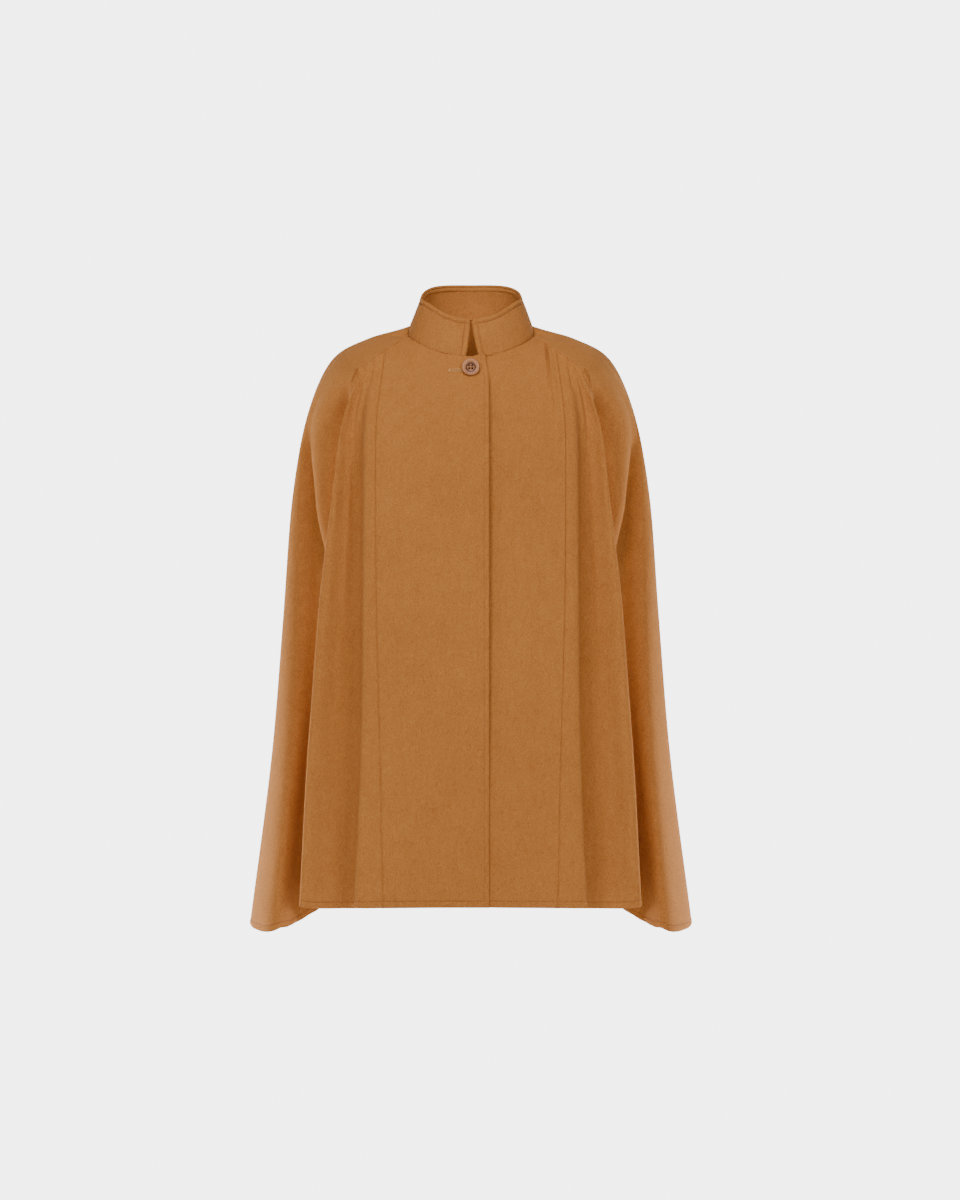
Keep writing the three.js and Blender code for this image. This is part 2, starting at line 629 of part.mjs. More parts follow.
// The worked buttonhole lies on the over front, made from that panel's points moved out: an oval band
// with a slit, from under the button towards the side.
function buttonholeGeometry() {
  const { inner, outer, half, slit, thick, eye, eyeLength } = BUTTONHOLE;
  const range = { u: [-1, SHOULDER_POINT], station: [0, HEM_STATION] };
  const down = 1 / stepLength(0.5, buttonStation, 0, NUDGE);
  const steps = 36;
  const middle = (inner + outer) / 2;
  const reach = (outer - inner) / 2;
  const place = (share, width, height) => {
    const angle = share * 2 * Math.PI;
    const stretch = reach - half + width;
    const across = middle + stretch * Math.sign(Math.cos(angle)) * Math.pow(Math.abs(Math.cos(angle)), 0.5);
    const opened = width + eye * (1 - ease((across - inner) / eyeLength));
    const drop = opened * Math.sign(Math.sin(angle)) * Math.pow(Math.abs(Math.sin(angle)), 0.7);
    const station = buttonStation + drop * down;
    const u = across >= 0 ? uAtAcross(across, station) : -uAtAcross(-across, station);
    const foot = surface(u, station).addScaledVector(normalAt(u, station, range), SEAM_GAP + height);
    return mirrored(foot);
  };
  const ring = [
    { width: half, height: 0 },
    { width: half, height: thick * 0.7 },
    { width: half * 0.6, height: thick },
    { width: slit, height: thick * 0.8 },
    { width: slit, height: 0 },
  ];
  const points = [];
  const index = [];
  for (let k = 0; k < steps; k++) {
    ring.forEach(({ width, height }) => points.push(...place(k / steps, width, height).toArray()));
    for (let r = 0; r < ring.length; r++) {
      const a = k * ring.length + r;
      const b = k * ring.length + ((r + 1) % ring.length);
      const c = ((k + 1) % steps) * ring.length + ((r + 1) % ring.length);
      const d = ((k + 1) % steps) * ring.length + r;
      index.push(a, c, b, a, d, c);
    }
  }
  const geometry = new THREE.BufferGeometry();
  geometry.setAttribute("position", new THREE.Float32BufferAttribute(points, 3));
  geometry.setIndex(index);
  return geometry;
}

const cape = new THREE.Group();
cape.add(
  piece("collar", collar(), wool),
  piece("right_centre_front", wall(centreFront(true), CLOTH), wool),
  piece("left_centre_front", wall(centreFront(false), CLOTH), wool),
  piece("right_side_front", wall(sideFront(-1), CLOTH), wool),
  piece("left_side_front", wall(sideFront(1), CLOTH), wool),
  piece("right_raglan_panel", wall(raglanPanel(-1), CLOTH), wool),
  piece("left_raglan_panel", wall(raglanPanel(1), CLOTH), wool),
  piece("back_panel", wall(backPanel(), CLOTH), wool),
  onButton(piece("button", buttonGeometry(), horn), BUTTON.off),
  piece("buttonhole_stitching", buttonholeGeometry(), thread),
);

const shankLength = BUTTON.off - 2 * SEAM_GAP;
const shank = new THREE.CylinderGeometry(SHANK_RADIUS, SHANK_RADIUS, shankLength, 12);
cape.add(onButton(piece("button_thread", shank, thread), BUTTON.off / 2));

export default cape;
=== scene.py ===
"""The looks of a hip-length wool cape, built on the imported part's frame: metres, +Z up, front -Y."""
import math
import random

import bmesh
import bpy
import numpy as np
from mathutils import Matrix, Vector


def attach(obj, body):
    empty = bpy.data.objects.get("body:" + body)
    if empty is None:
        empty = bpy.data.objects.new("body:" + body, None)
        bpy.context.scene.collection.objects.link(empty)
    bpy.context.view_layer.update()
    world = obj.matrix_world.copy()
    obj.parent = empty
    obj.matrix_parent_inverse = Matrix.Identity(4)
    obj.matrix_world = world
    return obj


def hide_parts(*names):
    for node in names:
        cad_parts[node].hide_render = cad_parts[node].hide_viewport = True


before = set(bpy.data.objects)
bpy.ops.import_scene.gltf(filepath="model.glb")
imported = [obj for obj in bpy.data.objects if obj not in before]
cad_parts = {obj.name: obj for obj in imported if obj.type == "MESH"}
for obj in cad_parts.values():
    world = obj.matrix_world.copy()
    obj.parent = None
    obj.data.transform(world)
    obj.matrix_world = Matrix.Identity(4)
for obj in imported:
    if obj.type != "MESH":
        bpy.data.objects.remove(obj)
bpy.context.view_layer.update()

# Sizes are in millimetres and angles in degrees, unless a comment says otherwise.
MM = 0.001
CLOTH = 2.2
COLLAR_CLOTH = 3.6

NECK_HALF_WIDTH, NECK_FRONT, NECK_BACK = 90.5, 72, 66
NECK_FRONT_DROP, NECK_BACK_RISE, NECK_DIP = 38, 28, 18
COLLAR_TOP = {"half_width": 72, "front": 60, "back": 60, "lean": 20,
              "front_rise": 16.5, "side_rise": 53, "back_rise": 79}
COLLAR_ENDS = {"left": {"top": 0.6, "bottom": 13}, "right": {"top": -0.6, "bottom": -7}}
COLLAR_BELLY = 0.4
COLLAR_ROUND, COLLAR_TALL = 470.0, 54.0
COLLAR_CORNER, COLLAR_CORNER_DROP = 9, 4.2

OVERLAP, OVERLAP_AT_NECK = 26, 21
LAP_STEP, LAP_MARGIN, LAP_EASE = 3.1, 3, 16
CORNER_RISE = 3
UNDER_STAND, UNDER_FADE = 5.5, 46
TOP_RIDGE, TOP_RIDGE_CLEAR = 1.1, 10
TUCK = {"at": 0.5, "unit": 37, "deep": 4.4, "narrow": 1.6, "swell": 2.2, "aside": 5, "broad": 4.5,
        "hollow": -1.6, "reach": 1.9}

YOKE_SEAM = [(89.1, -12.5, -6.6), (108, -42, -17), (134, -66, -37), (162, -74, -58)]
HEIGHTS = {
    "front": [-58, -133, -243, -408, -600, -800],
    "side": [-38, -124, -237, -410, -608, -843],
    "back": [-60, -140, -245, -410, -605, -832],
}

# Fold lines of one half, front to side, as in the part: across and forward from armpit to hem. neck is
# the angle round the neck, yoke the share of the yoke seam, side how far its heights are the side's,
# crown a fullness over the chest, and a corner line may turn sharply near the top.
FRONT_LINES = [
    dict(name="centre front", neck=0,
         across=[0, 0, 0, 0, 0], forward=[126, 152, 165, 175, 185]),
    dict(name="front body", neck=30, crown=1,
         across=[38, 39, 38, 37, 36], forward=[126, 152, 165, 175, 185]),
    dict(name="under the collar", neck=58, crown=7,
         across=[72, 74, 71, 68, 64], forward=[125, 151, 164, 175, 186]),
    dict(name="shoulder point", neck=80, crown=26, corner=True,
         across=[95, 97, 93, 88, 83], forward=[121, 148, 163, 175, 187]),
    dict(name="front seam", yoke=0.5, crown=4,
         across=[131.5, 131.7, 129.7, 124, 119.6], forward=[117, 143, 159, 174, 189]),
    dict(name="inner fold crest", yoke=0.66,
         across=[145, 147, 147.5, 150, 158], forward=[113, 138, 154, 169, 187]),
    dict(name="inner fold valley", yoke=0.73,
         across=[153, 155, 154.5, 154, 157], forward=[101, 121, 135, 146, 159]),
    dict(name="between the folds", yoke=0.8,
         across=[165, 171, 178, 187, 195], forward=[98, 117, 131, 143, 155]),
    dict(name="outer fold crest", yoke=0.87,
         across=[179.5, 193, 211, 226, 236], forward=[98, 116, 128, 140, 152]),
    dict(name="behind the crest", yoke=0.94, side=0.05,
         across=[178, 190, 206, 219, 228], forward=[80, 90, 100, 111, 123]),
    dict(name="raglan seam", yoke=1, side=0.25, corner=True,
         across=[177, 186, 194, 203, 211], forward=[60, 63, 70, 74, 82]),
]
SHOULDER_LINES = [
    dict(name="upper arm front", neck=85, side=0.5, shoulder=(135, -31, -16), yoke=(185, -44, -53),
         across=[228, 224, 203, 210, 224], forward=[10, 20, 58, 68, 74]),
    dict(name="behind the arm", neck=90, side=0.7, shoulder=(143, -13, -10), yoke=(196, -20, -46),
         across=[235, 222, 219, 227, 246], forward=[-3, -6, 40, 66, 83]),
    dict(name="outer fold front", neck=95, side=0.95, shoulder=(148, 0, -6.5), yoke=(201, -2, -41),
         across=[238, 248, 250, 255, 273], forward=[-10, -8, 34, 72, 106]),
    dict(name="side", neck=101, side=1, shoulder=(151, 14, -5), yoke=(203.5, 14, -38),
         across=[239, 259, 269, 282, 309], forward=[-18, -26, 3, 30, 50]),
]
BACK_BEHIND = [NECK_BACK, 92, 116, 131, 141, 149, 162, 184]
BACK_UP = [NECK_BACK_RISE, -8] + HEIGHTS["back"]
BACK_ROUNDNESS = 2.3
BACK_FOLDS_FROM = 1.2
BACK_FOLDS = [
    dict(name="side back crest", around=12, stand=10), dict(name="back seam", around=25, stand=-20),
    dict(name="blade valley edge", around=35, stand=-16), dict(name="blade crest", around=45, stand=22),
    dict(name="blade valley", around=55, stand=-12), dict(name="inner crest", around=66, stand=15),
    dict(name="inner valley", around=78, stand=-15), dict(name="centre back", around=90, stand=6),
]
NECK_STATION, HEM_STATION = -2.0, 5.0
CROWN_WAY = np.array([0, -0.85, 0.5])

# Where the hem hangs lower than the tables give: the fold line, its reach in lines, and millimetres
HEM_DROPS = [(6.8, 1.1, 5.5), (11.85, 0.65, 7.0), (13.7, 0.6, 2.5)]
HEM_DROPS_FROM = 3.8

# Soft troughs (-) and ridges (+), laid one by one. side is the wearer's: +1 left, -1 right, 0 both. u gives
# the fold lines at their top and bottom, run their first and last stations, wide and high millimetres.
CREASES = [
    dict(side=-1, u=(6.35, 6.40), run=(0.4, 5.0), wide=23, high=-13.0),
    dict(side=1, u=(6.35, 6.42), run=(0.5, 5.0), wide=22, high=-12.0),
    dict(side=-1, u=(7.62, 7.64), run=(0.8, 5.0), wide=12, high=3.0),
    dict(side=1, u=(7.64, 7.60), run=(0.7, 5.0), wide=12, high=3.2),
    dict(side=-1, u=(8.60, 8.70), run=(0.2, 5.0), wide=18, high=-9.0),
    dict(side=1, u=(8.65, 8.60), run=(0.3, 5.0), wide=18, high=-9.0),
    dict(side=-1, u=(7.15, 6.60), run=(-0.1, 2.4), wide=10, high=-2.8),
    dict(side=1, u=(7.15, 6.55), run=(-0.1, 2.2), wide=10, high=-3.0),
    dict(side=-1, u=(7.35, 7.15), run=(0.05, 2.6), wide=20, high=-5.0),
    dict(side=1, u=(7.35, 7.10), run=(0.05, 2.4), wide=20, high=-5.0),
    dict(side=-1, u=(5.35, 5.50), run=(-0.1, 0.5), wide=12, high=-1.6),
    dict(side=1, u=(5.30, 5.50), run=(-0.1, 0.6), wide=12, high=-2.0),
    dict(side=0, u=(8.00, 8.04), run=(0.0, 3.6), wide=9, high=2.2),
    dict(side=0, u=(8.62, 8.60), run=(0.1, 2.8), wide=15, high=-4.5),
    dict(side=0, u=(10.12, 10.20), run=(0.15, 2.8), wide=6, high=-10.0),
    dict(side=-1, u=(10.58, 10.72), run=(0.1, 2.7), wide=12, high=11.0),
    dict(side=1, u=(10.58, 10.70), run=(0.1, 2.6), wide=12, high=11.0),
    dict(side=-1, u=(11.2, 11.55), run=(0.5, 5.0), wide=26, high=-13.0),
    dict(side=1, u=(11.1, 11.55), run=(0.6, 5.0), wide=25, high=-13.5),
    dict(side=0, u=(6.85, 7.00), run=(1.6, 5.0), wide=22, high=-6.5),
    dict(side=0, u=(11.70, 11.85), run=(1.7, 4.65), wide=17, high=-8.5),
    dict(side=-1, u=(3.62, 3.50), run=(0.1, 2.6), wide=11, high=0.9),
    dict(side=1, u=(1.55, 1.35), run=(0.4, 3.6), wide=16, high=-0.8),
    dict(side=-1, u=(2.30, 2.05), run=(0.3, 3.0), wide=18, high=-0.9),
    dict(side=-1, u=(2.85, 2.75), run=(1.5, 4.9), wide=20, high=0.8),
    dict(side=1, u=(3.30, 3.45), run=(1.8, 4.9), wide=18, high=-0.9),
    dict(side=-1, u=(7.35, 7.45), run=(1.2, 4.9), wide=9, high=-1.0),
    dict(side=1, u=(7.55, 7.30), run=(0.8, 4.9), wide=10, high=-1.2),
    dict(side=1, u=(7.05, 7.75), run=(2.4, 4.8), wide=8, high=0.9),
    dict(side=-1, u=(7.80, 7.10), run=(2.0, 4.6), wide=9, high=0.8),
    dict(side=-1, u=(12.6, 13.1), run=(-1.2, 1.6), wide=12, high=-1.0),
    dict(side=1, u=(12.2, 12.9), run=(-0.8, 1.9), wide=13, high=-1.3),
    dict(side=0, u=(14.4, 14.7), run=(-0.9, 2.2), wide=22, high=-1.4),
    dict(side=-1, u=(13.6, 13.4), run=(2.0, 4.9), wide=16, high=1.1),
    dict(side=1, u=(13.5, 13.7), run=(2.4, 4.9), wide=15, high=-1.0),
    dict(side=0, u=(15.6, 15.3), run=(0.4, 4.9), wide=20, high=-1.6),
    dict(side=1, u=(17.6, 17.2), run=(0.2, 3.4), wide=24, high=-1.5),
    dict(side=-1, u=(17.2, 17.7), run=(0.0, 3.0), wide=26, high=-1.4),
    dict(side=1, u=(19.4, 19.7), run=(0.6, 4.0), wide=22, high=1.3),
    dict(side=-1, u=(20.5, 20.2), run=(0.8, 4.4), wide=20, high=-1.3),
]
# How wide the gap between two fold lines counts for a crease, and the station past which it meets the hem
FOLD_LINE_WIDTH = 38
CREASE_TO_HEM = 4.7

# Sewing: how far from an edge each row of stitches runs, and a stitch's own size
HEM_STITCH, EDGE_STITCH, COLLAR_STITCH, YOKE_STITCH = 9.0, 7.2, 7.4, 2.6
STITCH_PITCH, STITCH_LONG, STITCH_THICK, STITCH_PROUD = 4.1, 3.5, 0.62, 0.12
SEAM_RIDGE_AT, SEAM_RIDGE_WIDE, RIM_DEEP = 2.4, 1.1, 1.15

# Where the rows start and end, in fold lines from a panel's edges
CENTRE_ROW_FROM, CENTRE_ROW_SHORT, PANEL_ROW_SHORT = -0.55, 0.03, 0.02
YOKE_ROW_INSET, YOKE_ROW_SHORT = 0.15, 1.6

# Mesh: the cells' size, and the columns and rows that stand closer by an edge, at these distances from it
CELL, FINE_CELL, ROW_STEP = 4.2, 2.8, 4.3
TUCK_COLUMNS = 32
SEAM_LAP = 0.1
NEAR_SEAM = [-SEAM_LAP, 0.5, 1.1, 2.0, 3.0]
NEAR_COLUMNS_WIDE, NEAR_ROWS_WIDE = 3.8, 4.2
NEAR_HEM = [12.0, 10.4, 9.7, 9.2, 8.8, 8.3, 7.6, 6.0, 4.2, 2.8, 1.7, 0.9, 0.4, 0.0]
LAP_COLUMNS = [0, 0.4, 0.9, 1.6, 2.5, 3.6, 4.9, 5.9, 6.6, 7.0, 7.4, 7.8, 8.5, 9.8, 12, 15, 18.5, 22]
COLLAR_EDGE = [0, 0.5, 1.1, 2.0, 3.2, 4.8, 6.2, 6.9, 7.4, 7.9, 8.7, 10.4]
COLLAR_BASE = [0.0, 0.5, 1.2, 2.2]
COLLAR_INNER = {"columns": 140, "from_end": 13.5, "rows": 14, "from_base": 4, "from_top": 13}
NUDGE, COLLAR_NUDGE_ROUND, COLLAR_NUDGE_UP = 0.02, 0.003, 0.02

# The button's half section, as radius and height over its back
BUTTON_FACE = [(12.55, 1.9), (12.7, 2.5), (12.62, 3.2), (12.2, 3.85), (11.5, 4.2), (10.6, 4.28), (9.3, 4.15),
               (8.2, 3.95), (7.3, 3.75), (6.7, 3.5), (6.3, 3.1), (6.05, 2.75), (5.7, 2.6)]
BUTTON_BACK = [(5.7, 0.0), (9.8, 0.0), (11.3, 0.5), (12.2, 1.2)]
BUTTON_SEGMENTS, HOLE_SEGMENTS = 72, 14
HOLE_RADIUS, HOLE_AT = 1.5, 2.2
HOLES = [(x, z) for x in (-HOLE_AT, HOLE_AT) for z in (-HOLE_AT, HOLE_AT)]
# How far it sits below the origin and off the cloth, and how much it nods
BUTTON_DROP, BUTTON_OFF, BUTTON_NOD = 56.5, 2.9, 0.8
# The radii of its painted shade at the foot of the dish, its painted highlight near the edge and its painted
# shade on the side
SHADED_DISH_FOOT, HIGHLIGHT_EDGE, SHADED_SIDE = 6.2, 10.9, 11.8
SHANK = {"strands": 6, "radius": 0.55, "thick": 0.5, "middle": 0.62, "long": 1.25}
KNOT = {"level": 0.9, "long": 1.6, "wide": 2.9}

# The worked buttonhole: how far under the button's middle, its ends across and half its width
BUTTONHOLE = {"drop": 2.4, "start": -3, "reach": 30.0, "half": 1.3}
BAR = {"count": 46, "long": 2.5, "wide": 0.78, "high": 1.1, "proud": 0.55, "aim": 0.6}
TACK = {"count": 5, "long": 7.5, "wide": 0.75, "proud": 0.75, "aim": 1.0,
        "inset": 1.2, "drop": 0.5, "pitch": 0.496}

# Flat cuts: width and length in metres, and the area of the cut itself in square metres
CUTS = {
    "right_centre_front": (0.165, 0.80, 0.129), "left_centre_front": (0.165, 0.80, 0.129),
    "right_side_front": (0.27, 0.81, 0.1355), "left_side_front": (0.27, 0.81, 0.1355),
    "right_raglan_panel": (0.38, 0.91, 0.192), "left_raglan_panel": (0.38, 0.91, 0.192),
    "back_panel": (0.80, 0.90, 0.480), "collar": (0.48, 0.075, 0.0271),
}

# The studio, in metres. A lamp is its name, place, aim, size and watts, and the side lamps stand on both
# sides. What is seen white by the camera casts less light.
FLOOR_Z, FLOOR_HALF, PAPER_PALE = -1.43, 30, 0.85
SEEN_WHITE, SKY_CAST = 5.0, 0.18
SIDE_LAMPS = [
    ("key", (1.7, -3.15, 0.9), (0, 0, -0.5), (1.1, 1.4), 44.5),
    ("edge", (1.35, 0.6, -1.0), (0.3, 0, -0.75), (0.4, 0.6), 29),
    ("back", (1.9, 3.4, 1.0), (0, 0, -0.4), (1.6, 1.6), 48),
]
TOP_LAMP = ("top", (-0.25, -1.5, 2.4), (0, 0, -0.1), (0.8, 0.6), 40)
NECK_LAMP_PLACE, NECK_LAMP_WATTS = (0, -0.035, -0.045), 0.11
CAMERA_DISTANCE, FOCAL_PIXELS, PICTURE_HEIGHT, SENSOR_WIDTH = 3.5, 2437, 1200, 36
CAMERA_AXIS_Z, CAMERA_AXIS_X = -0.381, 0.0129


# The cape's surface
def ease(x):
    """0 to 1 with a soft start and a soft end."""
    x = np.clip(x, 0, 1)
    return x * x * (3 - 2 * x)


def hermite(p1, p2, m1, m2, f):
    """The point at share f of a curve from p1 to p2 that leaves with slope m1 and arrives with m2."""
    f = np.asarray(f)[..., None]
    f2, f3 = f * f, f * f * f
    return p1 * (2 * f3 - 3 * f2 + 1) + m1 * (f3 - 2 * f2 + f) + p2 * (3 * f2 - 2 * f3) + m2 * (f3 - f2)


def slopes_of(points):
    """Slopes that carry a smooth curve through a row of points."""
    points = np.asarray(points, float)
    slopes = np.empty_like(points)
    slopes[0], slopes[-1] = points[1] - points[0], points[-1] - points[-2]
    slopes[1:-1] = (points[2:] - points[:-2]) / 2
    return slopes


def along(points, at):
    """A smooth curve through points at fractional indices `at`."""
    points = np.asarray(points, float)
    slopes = slopes_of(points)
    i = np.clip(np.floor(at).astype(int), 0, len(points) - 2)
    return hermite(points[i], points[i + 1], slopes[i], slopes[i + 1], at - i)


def neck_point(deg):
    """The neck seam at an angle round from the centre front."""
    turn = np.radians(np.asarray(deg, float))
    c, s = np.cos(turn), np.sin(turn)
    front = c > 0
    drop = NECK_DIP * c + (NECK_FRONT_DROP - NECK_DIP) * c * c
    up = np.where(front, -drop, NECK_BACK_RISE * np.sqrt(np.clip(-c, 0, 1)))
    return np.stack([NECK_HALF_WIDTH * s, -np.where(front, NECK_FRONT, NECK_BACK) * c, up], -1)


def collar_top_point(deg):
    """The collar's top edge at an angle round from the centre front."""
    turn = np.radians(np.asarray(deg, float))
    c, s = np.cos(turn), np.clip(np.sin(turn), 0, 1)
    t = COLLAR_TOP
    front = (t["side_rise"] - t["front_rise"]) * np.clip(1 - s ** 2.2, 0, 1) ** 1.1
    lean = t["lean"] * np.clip(c, 0, 1) * np.clip(1 - c, 0, 1) ** 3
    back = (t["back_rise"] - t["side_rise"]) * (1 - np.clip(1 + c, 0, 1) ** 1.6)
    up = t["side_rise"] + np.where(c > 0, -front - lean, back)
    return np.stack([t["half_width"] * s, -np.where(c > 0, t["front"], t["back"]) * c, up], -1)


def yoke_seam(share):
    """The raglan seam over the chest, from the neck at share 0 to where it turns down at share 1."""
    return along(YOKE_SEAM, np.asarray(share, float) * (len(YOKE_SEAM) - 1))


def lower_points(line):
    """A fold line's points from the armpit to the hem."""
    side = line.get("side", 0)
    return [(a, -f, HEIGHTS["front"][k + 1] * (1 - side) + HEIGHTS["side"][k + 1] * side)
            for k, (a, f) in enumerate(zip(line["across"], line["forward"]))]


def side_at(station):
    """The side line's point at a station."""
    line = SHOULDER_LINES[-1]
    points = [neck_point(line["neck"]), line["shoulder"], line["yoke"], *lower_points(line)]
    return along(points, np.asarray(station, float) + 2)


def back_points(fold):
    """A back fold line's points from neck to hem."""
    psi = math.radians(fold["around"])
    share = math.sin(psi) ** 2
    round_x, round_y = math.cos(psi) ** (2 / BACK_ROUNDNESS), math.sin(psi) ** (2 / BACK_ROUNDNESS)
    if fold["around"] == 90:
        round_x = 0.0
    neck = SHOULDER_LINES[-1]["neck"] + (180 - SHOULDER_LINES[-1]["neck"]) * fold["around"] / 90
    points = [neck_point(neck)]
    for k in range(1, len(BACK_BEHIND)):
        side = side_at(k + NECK_STATION)
        grown = max(0, (k + NECK_STATION - BACK_FOLDS_FROM) / (HEM_STATION - BACK_FOLDS_FROM)) ** 1.3
        stand = fold["stand"] * grown
        points.append((side[0] * round_x + (stand * math.cos(psi) if fold["around"] < 90 else 0),
                       side[1] + (BACK_BEHIND[k] - side[1]) * round_y + stand * math.sin(psi),
                       side[2] + (BACK_UP[k] - side[2]) * share))
    return points


def line_table():
    """Every fold line: its name, points, first station's index, crown and corner."""
    table = []
    for line in FRONT_LINES:
        top = yoke_seam(line["yoke"]) if "yoke" in line else neck_point(line["neck"])
        points, first = [top, *lower_points(line)], 2
        if line["name"] == "raglan seam":
            points, first = [yoke_seam(0), yoke_seam(0.5), yoke_seam(1), *lower_points(line)], 0
        table.append((line["name"], points, first, line.get("crown", 0), line.get("corner", False)))
    for line in SHOULDER_LINES:
        points = [neck_point(line["neck"]), line["shoulder"], line["yoke"], *lower_points(line)]
        table.append((line["name"], points, 0, 0, False))
    for fold in BACK_FOLDS:
        table.append((fold["name"], back_points(fold), 0, 0, False))
    return table


TABLE = line_table()
NAMES = [row[0] for row in TABLE]
SHOULDER_POINT, FRONT_SEAM = NAMES.index("shoulder point"), NAMES.index("front seam")
RAGLAN_SEAM, BACK_SEAM, CENTRE_BACK = NAMES.index("raglan seam"), NAMES.index("back seam"), len(NAMES) - 1
POINTS = np.zeros((len(TABLE), 8, 3))
SLOPES = np.zeros((len(TABLE), 8, 3))
for row, (_, points, first, *_rest) in enumerate(TABLE):
    POINTS[row, first:] = np.array([list(p) for p in points], float)
    SLOPES[row, first:] = slopes_of(POINTS[row, first:])
FIRSTS = np.array([row[2] for row in TABLE])
CROWNS = np.array([row[3] for row in TABLE], float)
CORNERS = np.array([row[4] for row in TABLE])


def line_point(k, station):
    """The point of fold line k at a station; the second half of the round mirrors the first."""
    k, station = np.broadcast_arrays(k, np.asarray(station, float))
    half = np.abs(k)
    half = np.where(half > CENTRE_BACK, 2 * CENTRE_BACK - half, half)
    i = np.clip(np.floor(station).astype(int) + 2, FIRSTS[half], 6)
    p = hermite(POINTS[half, i], POINTS[half, i + 1], SLOPES[half, i], SLOPES[half, i + 1], station + 2 - i)
    on_yoke = (half == RAGLAN_SEAM) & (station < 0)
    p = np.where(on_yoke[..., None], yoke_seam(np.clip(1 + station / 2, 0, 1)), p)
    share = np.clip(station, 0, 1)
    p = p + (CROWNS[half] * 4 * share * (1 - share) ** 2)[..., None] * CROWN_WAY
    mirrored = (k < 0) | (k > CENTRE_BACK)
    return p * np.where(mirrored[..., None], np.array([-1, 1, 1]), 1)


def surface(u, station):
    """The cloth's outer face in millimetres: u counts fold lines round from the centre front."""
    u, station = np.broadcast_arrays(np.asarray(u, float), np.asarray(station, float))
    i = np.floor(u).astype(int)
    at = [line_point(i + d, station) for d in (-1, 0, 1, 2)]
    legs = [at[d + 1] - at[d] for d in range(3)]
    roots = [np.sqrt(np.linalg.norm(leg, axis=-1, keepdims=True)) + 1e-9 for leg in legs]
    ways = [leg / root for leg, root in zip(legs, roots)]
    first = np.where(station < 0, RAGLAN_SEAM, -CENTRE_BACK)

    def slope(d):
        k = i + d
        smooth = (ways[d] * roots[d + 1] + ways[d + 1] * roots[d]) / (roots[d] + roots[d + 1])
        corner = CORNERS[np.clip(np.abs(k), 0, CENTRE_BACK)] & (np.abs(k) <= CENTRE_BACK)
        turned = np.where(corner, 1 - ease(station), 0)[..., None]
        own = ways[1]
        smooth = smooth * (1 - turned) + own * turned
        return np.where((k <= first)[..., None], ways[d + 1], smooth)

    return hermite(at[1], at[2], slope(0) * roots[1], slope(1) * roots[1], u - i)


def normal_at(u, station, u_range, s_range):
    """The surface's outward direction, measured inside the given ranges of u and station."""
    u, station = np.broadcast_arrays(np.asarray(u, float), np.asarray(station, float))
    across = (surface(np.minimum(u + NUDGE, u_range[1]), station)
              - surface(np.maximum(u - NUDGE, u_range[0]), station))
    down = (surface(u, np.minimum(station + NUDGE, s_range[1]))
            - surface(u, np.maximum(station - NUDGE, s_range[0])))
    n = -np.cross(across, down)
    return n / (np.linalg.norm(n, axis=-1, keepdims=True) + 1e-12)


def speed(u, station, du, ds):
    """Millimetres of cloth to one unit of u or of station, measured towards du or ds."""
    step = surface(u + du * NUDGE, station + ds * NUDGE) - surface(u, station)
    return np.linalg.norm(step, axis=-1) / NUDGE


def u_at_across(across, station):
    """The u on the wearer's left front that stands so far across, found by halving."""
    low, high = np.zeros_like(station), np.full_like(station, SHOULDER_POINT)
    for _ in range(24):
        middle = (low + high) / 2
        short = surface(middle, station)[..., 0] < across
        low, high = np.where(short, middle, low), np.where(short, high, middle)
    return low


def overlap_at(station):
    """How far each front reaches past the centre front."""
    return OVERLAP_AT_NECK + (OVERLAP - OVERLAP_AT_NECK) * ease(station * 2.5)


def under_step(across):
    """How far the under layer steps back beneath the over front, easing out past its edge."""
    return LAP_STEP * (1 - ease((across - OVERLAP - LAP_MARGIN) / LAP_EASE))


# Profiles across the cloth, in millimetres, by the distance from an edge or a line
def seam_dip(d, deep=1.3, wide=1.9):
    """The cloth turning in at a seam or a rim."""
    return -deep * np.clip(1 - d / wide, 0, 1) ** 2


def seam_ridge(d, high):
    """The low ridge that the seam allowances make beside a seam."""
    return high * np.exp(-((d - SEAM_RIDGE_AT) / SEAM_RIDGE_WIDE) ** 2)


def turned_edge(d, stitch, pinch=0.55, full=0.35):
    """A pressed, topstitched edge: rounded at the rim, full up to the stitches and pinched at them."""
    pad = full * ease(d / 2) * (1 - ease((d - stitch * 0.55) / (stitch * 0.45)))
    return seam_dip(d, RIM_DEEP) + pad - pinch * np.exp(-((d - stitch) / 0.85) ** 2)


def front_edge(d):
    """The pressed front edge: a narrow roll at the rim, and a line of stitches that barely shows."""
    roll = 0.85 * np.exp(-((d - 2.0) / 1.3) ** 2)
    return seam_dip(d, RIM_DEEP, 1.6) + roll - 0.12 * np.exp(-((d - EDGE_STITCH) / 0.85) ** 2)


def creases(u, station, hand):
    """The height of all the creases together at a place on one side of the cape."""
    total = np.zeros(np.broadcast(u, station).shape)
    folded = np.where(u > CENTRE_BACK, 2 * CENTRE_BACK - u, u)
    side = np.where(u > CENTRE_BACK, -hand, hand)
    for c in CREASES:
        start, end = c["run"]
        share = np.clip((station - start) / (end - start), 0, 1)
        middle = c["u"][0] + (c["u"][1] - c["u"][0]) * share
        fade = ease(share * 3) * (1 - ease((share - 0.75) * 4)) if end < CREASE_TO_HEM else ease(share * 2.5)
        off = (folded - middle) * FOLD_LINE_WIDTH / c["wide"]
        mine = 1 if c["side"] == 0 else (side == c["side"])
        total = total + mine * c["high"] * fade * np.exp(-off * off)
    return total


